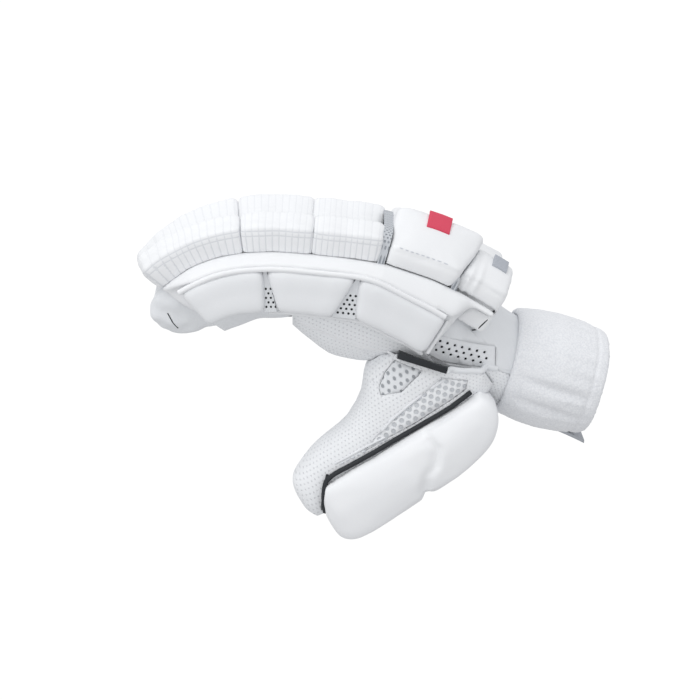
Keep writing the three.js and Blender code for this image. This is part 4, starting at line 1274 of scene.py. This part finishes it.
@dataclass
class Seams:
    """Welts, piping and seams that lie on the near side, on the pieces built so far, and two black cords laid
    in creases as painted shade.

    A seam thicker than wide also rests on what lies spread above and below it.
    """

    step: float = 2.5
    wide: float = 1.0
    spread: float = 3.0
    seams: tuple[Seam, ...] = (
        Seam("hem_welt", Edging.PLAIN, 1.7, 0.3, (
            (-88.0, 24.8), (-80.0, 22.9), (-72.4, 22.0), (-65.3, 21.0), (-58.6, 19.0),
        )),
        Seam("thumb_root_seam", Edging.PLAIN, 0.8, 0.4, (
            (-88.5, 18.6), (-96.7, 13.2), (-106.4, 5.7), (-116.8, -3.6), (-126.6, -15.4),
        )),
        Seam("thumb_side_seam", Edging.PLAIN, 0.7, 0.4, (
            (-121.1, -14.6), (-128.2, -18.1), (-134.8, -21.7), (-142.0, -25.8), (-148.7, -29.4),
        )),
        Seam("thumb_tip_piping", Edging.BLACK, 0.9, 0.5, (
            (-153.0, -36.0), (-154.4, -43.1), (-155.4, -50.4), (-155.8, -57.0),
        )),
        Seam("lower_piping", Edging.SMOOTH, 0.8, 0.4, (
            (-184.0, 55.6), (-167.4, 50.0), (-151.2, 42.8), (-139.3, 36.6), (-124.1, 32.6), (-116.0, 30.2),
        )),
        # Two black cords in the fingertip and wrist creases, dressed as tape: painted shade in the creases.
        Seam("fingertip_crease", Edging.BLACK, 0.35, 0.35, (
            (-239.3, 55.3), (-237.8, 52.4), (-236.8, 50.1), (-234.2, 46.1),
        )),
        Seam("wrist_crease", Edging.BLACK, 0.45, 0.3, (
            (-72.9, 42.5), (-69.2, 47.1), (-64.9, 51.6), (-61.5, 55.6),
        )),
    )

    def build(self, tree: BVHTree) -> None:
        """Lay every seam.

        Args:
            tree: the surfaces to lay them on.
        """
        finishes = {Edging.PLAIN: PLAIN_LEATHER, Edging.SMOOTH: SMOOTH_LEATHER, Edging.BLACK: BLACK_TAPE}
        for seam in self.seams:
            laid = self.laid(seam, tree)
            if len(laid) > 3:
                finish_piece(tube(laid, seam.radius, seam.name), finishes[seam.edging])

    def laid(self, seam: Seam, tree: BVHTree) -> list[Vector]:
        """Return the middle of a seam at short steps along its route."""
        spots = []
        for start, end in zip(seam.route, seam.route[1:]):
            steps = max(2, round(math.dist(start, end) / self.step))
            spots += [[a + (b - a) * i / steps for a, b in zip(start, end)] for i in range(steps)]
        rests = (-self.spread, 0, self.spread) if seam.radius > self.wide else (0,)
        laid = []
        for x, z in [*spots, seam.route[-1]]:
            hits = [near_surface(tree, x, z + rise)[0] for rise in rests]
            near = min((hit.y / MM for hit in hits if hit), default=None)
            if near is not None:
                laid.append(Vector((x, near + seam.radius * (1 - 2 * seam.proud), z)))
        return laid


@dataclass
class Trim:
    """The loop tag on the hem and the two patches."""

    nodes: dict[str, bpy.types.Object]
    tag_depth: float = 6.0
    edge: float = 0.25

    def build(self) -> None:
        """Build and dress the tag and the patches."""
        finishes = {"loop_tag": BLACK_TAPE, "hand_badge": RED_PATCH, "wrist_badge": GREY_PATCH}
        for name, finish in finishes.items():
            piece = to_object(curve_out(copy_of(self.nodes[name]), 2, 40), f"sewn_{name}")
            if name == "loop_tag":
                points = coords(piece.data)
                front, back = points[:, 1].min(), points[:, 1].max()
                points[:, 1] = front + (points[:, 1] - front) * self.tag_depth / (back - front)
                set_coords(piece.data, points)
            bevel = piece.modifiers.new("Edge", "BEVEL")
            bevel.width = self.edge * MM
            bevel.segments = 2
            finish_piece(piece, finish, name)


@dataclass
class Stitching:
    """Rows of thread sewn through the leather on the near side.

    One row runs under the hand pad's shoulder, at shoulder across and above its
    line. rows holds, for each other one, its start and its step as [x, z] places
    and how many holes it has.
    """

    stitch: float = 2.3
    gap: float = 0.9
    radius: float = 0.32
    shoulder: tuple[float, float] = (-28.0, 22.6)
    rows: tuple[tuple[tuple[float, float], tuple[float, float], int], ...] = (
        ((-119.0, -15.3), (-3.0, -1.62), 10), ((-98.2, 11.0), (-2.4, -2.05), 9),
    )

    def build(self, tree: BVHTree) -> None:
        """Sew every row.

        Args:
            tree: the surfaces to sew them on.
        """
        bm = bmesh.new()
        along_pad = (HAND_LINE.place(s, *self.shoulder) for s in range(34, 64, 3))
        self.sew(bm, [(point.x, point.z) for point in along_pad], tree)
        for (x, z), (step_x, step_z), count in self.rows:
            self.sew(bm, [(x + step_x * i, z + step_z * i) for i in range(count)], tree)
        finish_piece(to_object(bm, "sewn_thread"), THREAD, smooth=80)

    def sew(self, bm: Net, route: list[tuple[float, float]], tree: BVHTree) -> None:
        """Sew one row along a route of [x, z] places."""
        hits = [hit for hit in (near_surface(tree, x, z) for x, z in route) if hit[0]]
        for (start, up), (end, _) in zip(hits, hits[1:]):
            along = end - start
            if not 0 < along.length < 3 * self.stitch * MM:
                continue
            middle = (start + end) / 2 + up * self.radius * 0.4 * MM
            turn = along.to_track_quat("Z", "Y").to_matrix().to_4x4()
            made = bmesh.ops.create_uvsphere(bm, u_segments=6, v_segments=4, radius=1)["verts"]
            half = along.length * self.stitch / (self.stitch + self.gap) / 2
            bmesh.ops.scale(bm, vec=(self.radius * MM, self.radius * MM, half), verts=made)
            bmesh.ops.rotate(bm, cent=(0, 0, 0), matrix=turn, verts=made)
            bmesh.ops.translate(bm, vec=middle, verts=made)


@dataclass
class Studio:
    """The floor, the lights and the camera at the photograph's angle."""

    camera_at: tuple[float, float, float] = (-0.14036, -0.89795, 0.31067)
    looks_at: tuple[float, float, float] = (-0.14036, 0.005556, 0.0171)
    lens: float = 84.2
    floor_height: float = -0.42
    low_light: float = 0.6
    high_light: float = 0.93

    def build(self) -> None:
        """Set the stage."""
        self.camera()
        self.floor()
        self.world()
        self.area("key", (-0.55, -0.45, 1.0), (-0.14, 0, 0.03), 0.7, 3.2)
        self.area("front", (-0.6, -1.2, 0.15), (-0.14, 0, 0.0), 0.7, 1.5)

    def camera(self) -> None:
        """Put the camera where the photograph was taken."""
        lens = bpy.data.cameras.new("camera")
        lens.lens = self.lens
        lens.sensor_width = 36
        camera = bpy.data.objects.new("camera", lens)
        camera.location = self.camera_at
        way = Vector(self.looks_at) - Vector(self.camera_at)
        camera.rotation_euler = way.to_track_quat("-Z", "Y").to_euler()
        bpy.context.scene.collection.objects.link(camera)
        bpy.context.scene.camera = camera

    def floor(self) -> None:
        """Lay a plain pale floor well below the glove."""
        bm = bmesh.new()
        bmesh.ops.create_grid(bm, x_segments=1, y_segments=1, size=14)
        bmesh.ops.translate(bm, vec=(0, 0, self.floor_height), verts=bm.verts)
        floor = to_object(bm, "floor")
        pale = bpy.data.materials.new("pale_floor")
        pale.use_nodes = True
        shader = pale.node_tree.nodes["Principled BSDF"]
        shader.inputs["Base Color"].default_value = linear("202020")
        shader.inputs["Roughness"].default_value = 1.0
        shader.inputs["Emission Color"].default_value = linear("FFFFFF")
        shader.inputs["Emission Strength"].default_value = 1.0
        floor.data.materials.append(pale)
        floor.visible_diffuse = False
        floor.visible_glossy = False
        floor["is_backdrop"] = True

    def world(self) -> None:
        """Surround the glove with soft, slightly cool light, brighter from above."""
        world = bpy.data.worlds.new("studio")
        world.use_nodes = True
        tree = world.node_tree
        way = add(tree, "ShaderNodeTexCoord").outputs["Generated"]
        height = add(tree, "ShaderNodeSeparateXYZ", links={0: way}).outputs[2]
        rise = {1: -0.7, 2: 0.9, 3: self.low_light, 4: self.high_light}
        strength = add(tree, "ShaderNodeMapRange", rise, {0: height})
        sky = tree.nodes["Background"]
        sky.inputs[0].default_value = linear("F9FAFC")
        tree.links.new(strength.outputs[0], sky.inputs[1])
        bpy.context.scene.world = world
        bpy.context.scene.view_settings.view_transform = "Standard"

    def area(self, name: str, at: tuple, towards: tuple, size: float, power: float) -> None:
        """Hang a square light."""
        light = bpy.data.lights.new(name, "AREA")
        light.size = size
        light.energy = power
        lamp = bpy.data.objects.new(name, light)
        lamp.location = at
        lamp.rotation_euler = (Vector(towards) - Vector(at)).to_track_quat("-Z", "Y").to_euler()
        bpy.context.scene.collection.objects.link(lamp)


def main(frame: dict, cad_box: tuple) -> None:
    """Build the glove, dress it and set the stage.
    """
    logging.basicConfig(level=logging.INFO, format="%(name)s %(message)s")
    noise.seed_set(FOLD_SEED)
    nodes = frame["nodes"]
    Studio().build()
    for kind in (Shell, Wristband, SideBar, ThumbGuard, BackPads, Rolls, Trim):
        kind(nodes).build()
    Channels().build()
    left_out = {*nodes, "floor"}
    dressed = surfaces(o for o in bpy.data.objects if o.type == "MESH" and o.name not in left_out)
    Seams().build(dressed)
    Stitching().build(dressed)


if __name__ == "__main__":
    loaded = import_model()
    main(loaded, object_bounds())
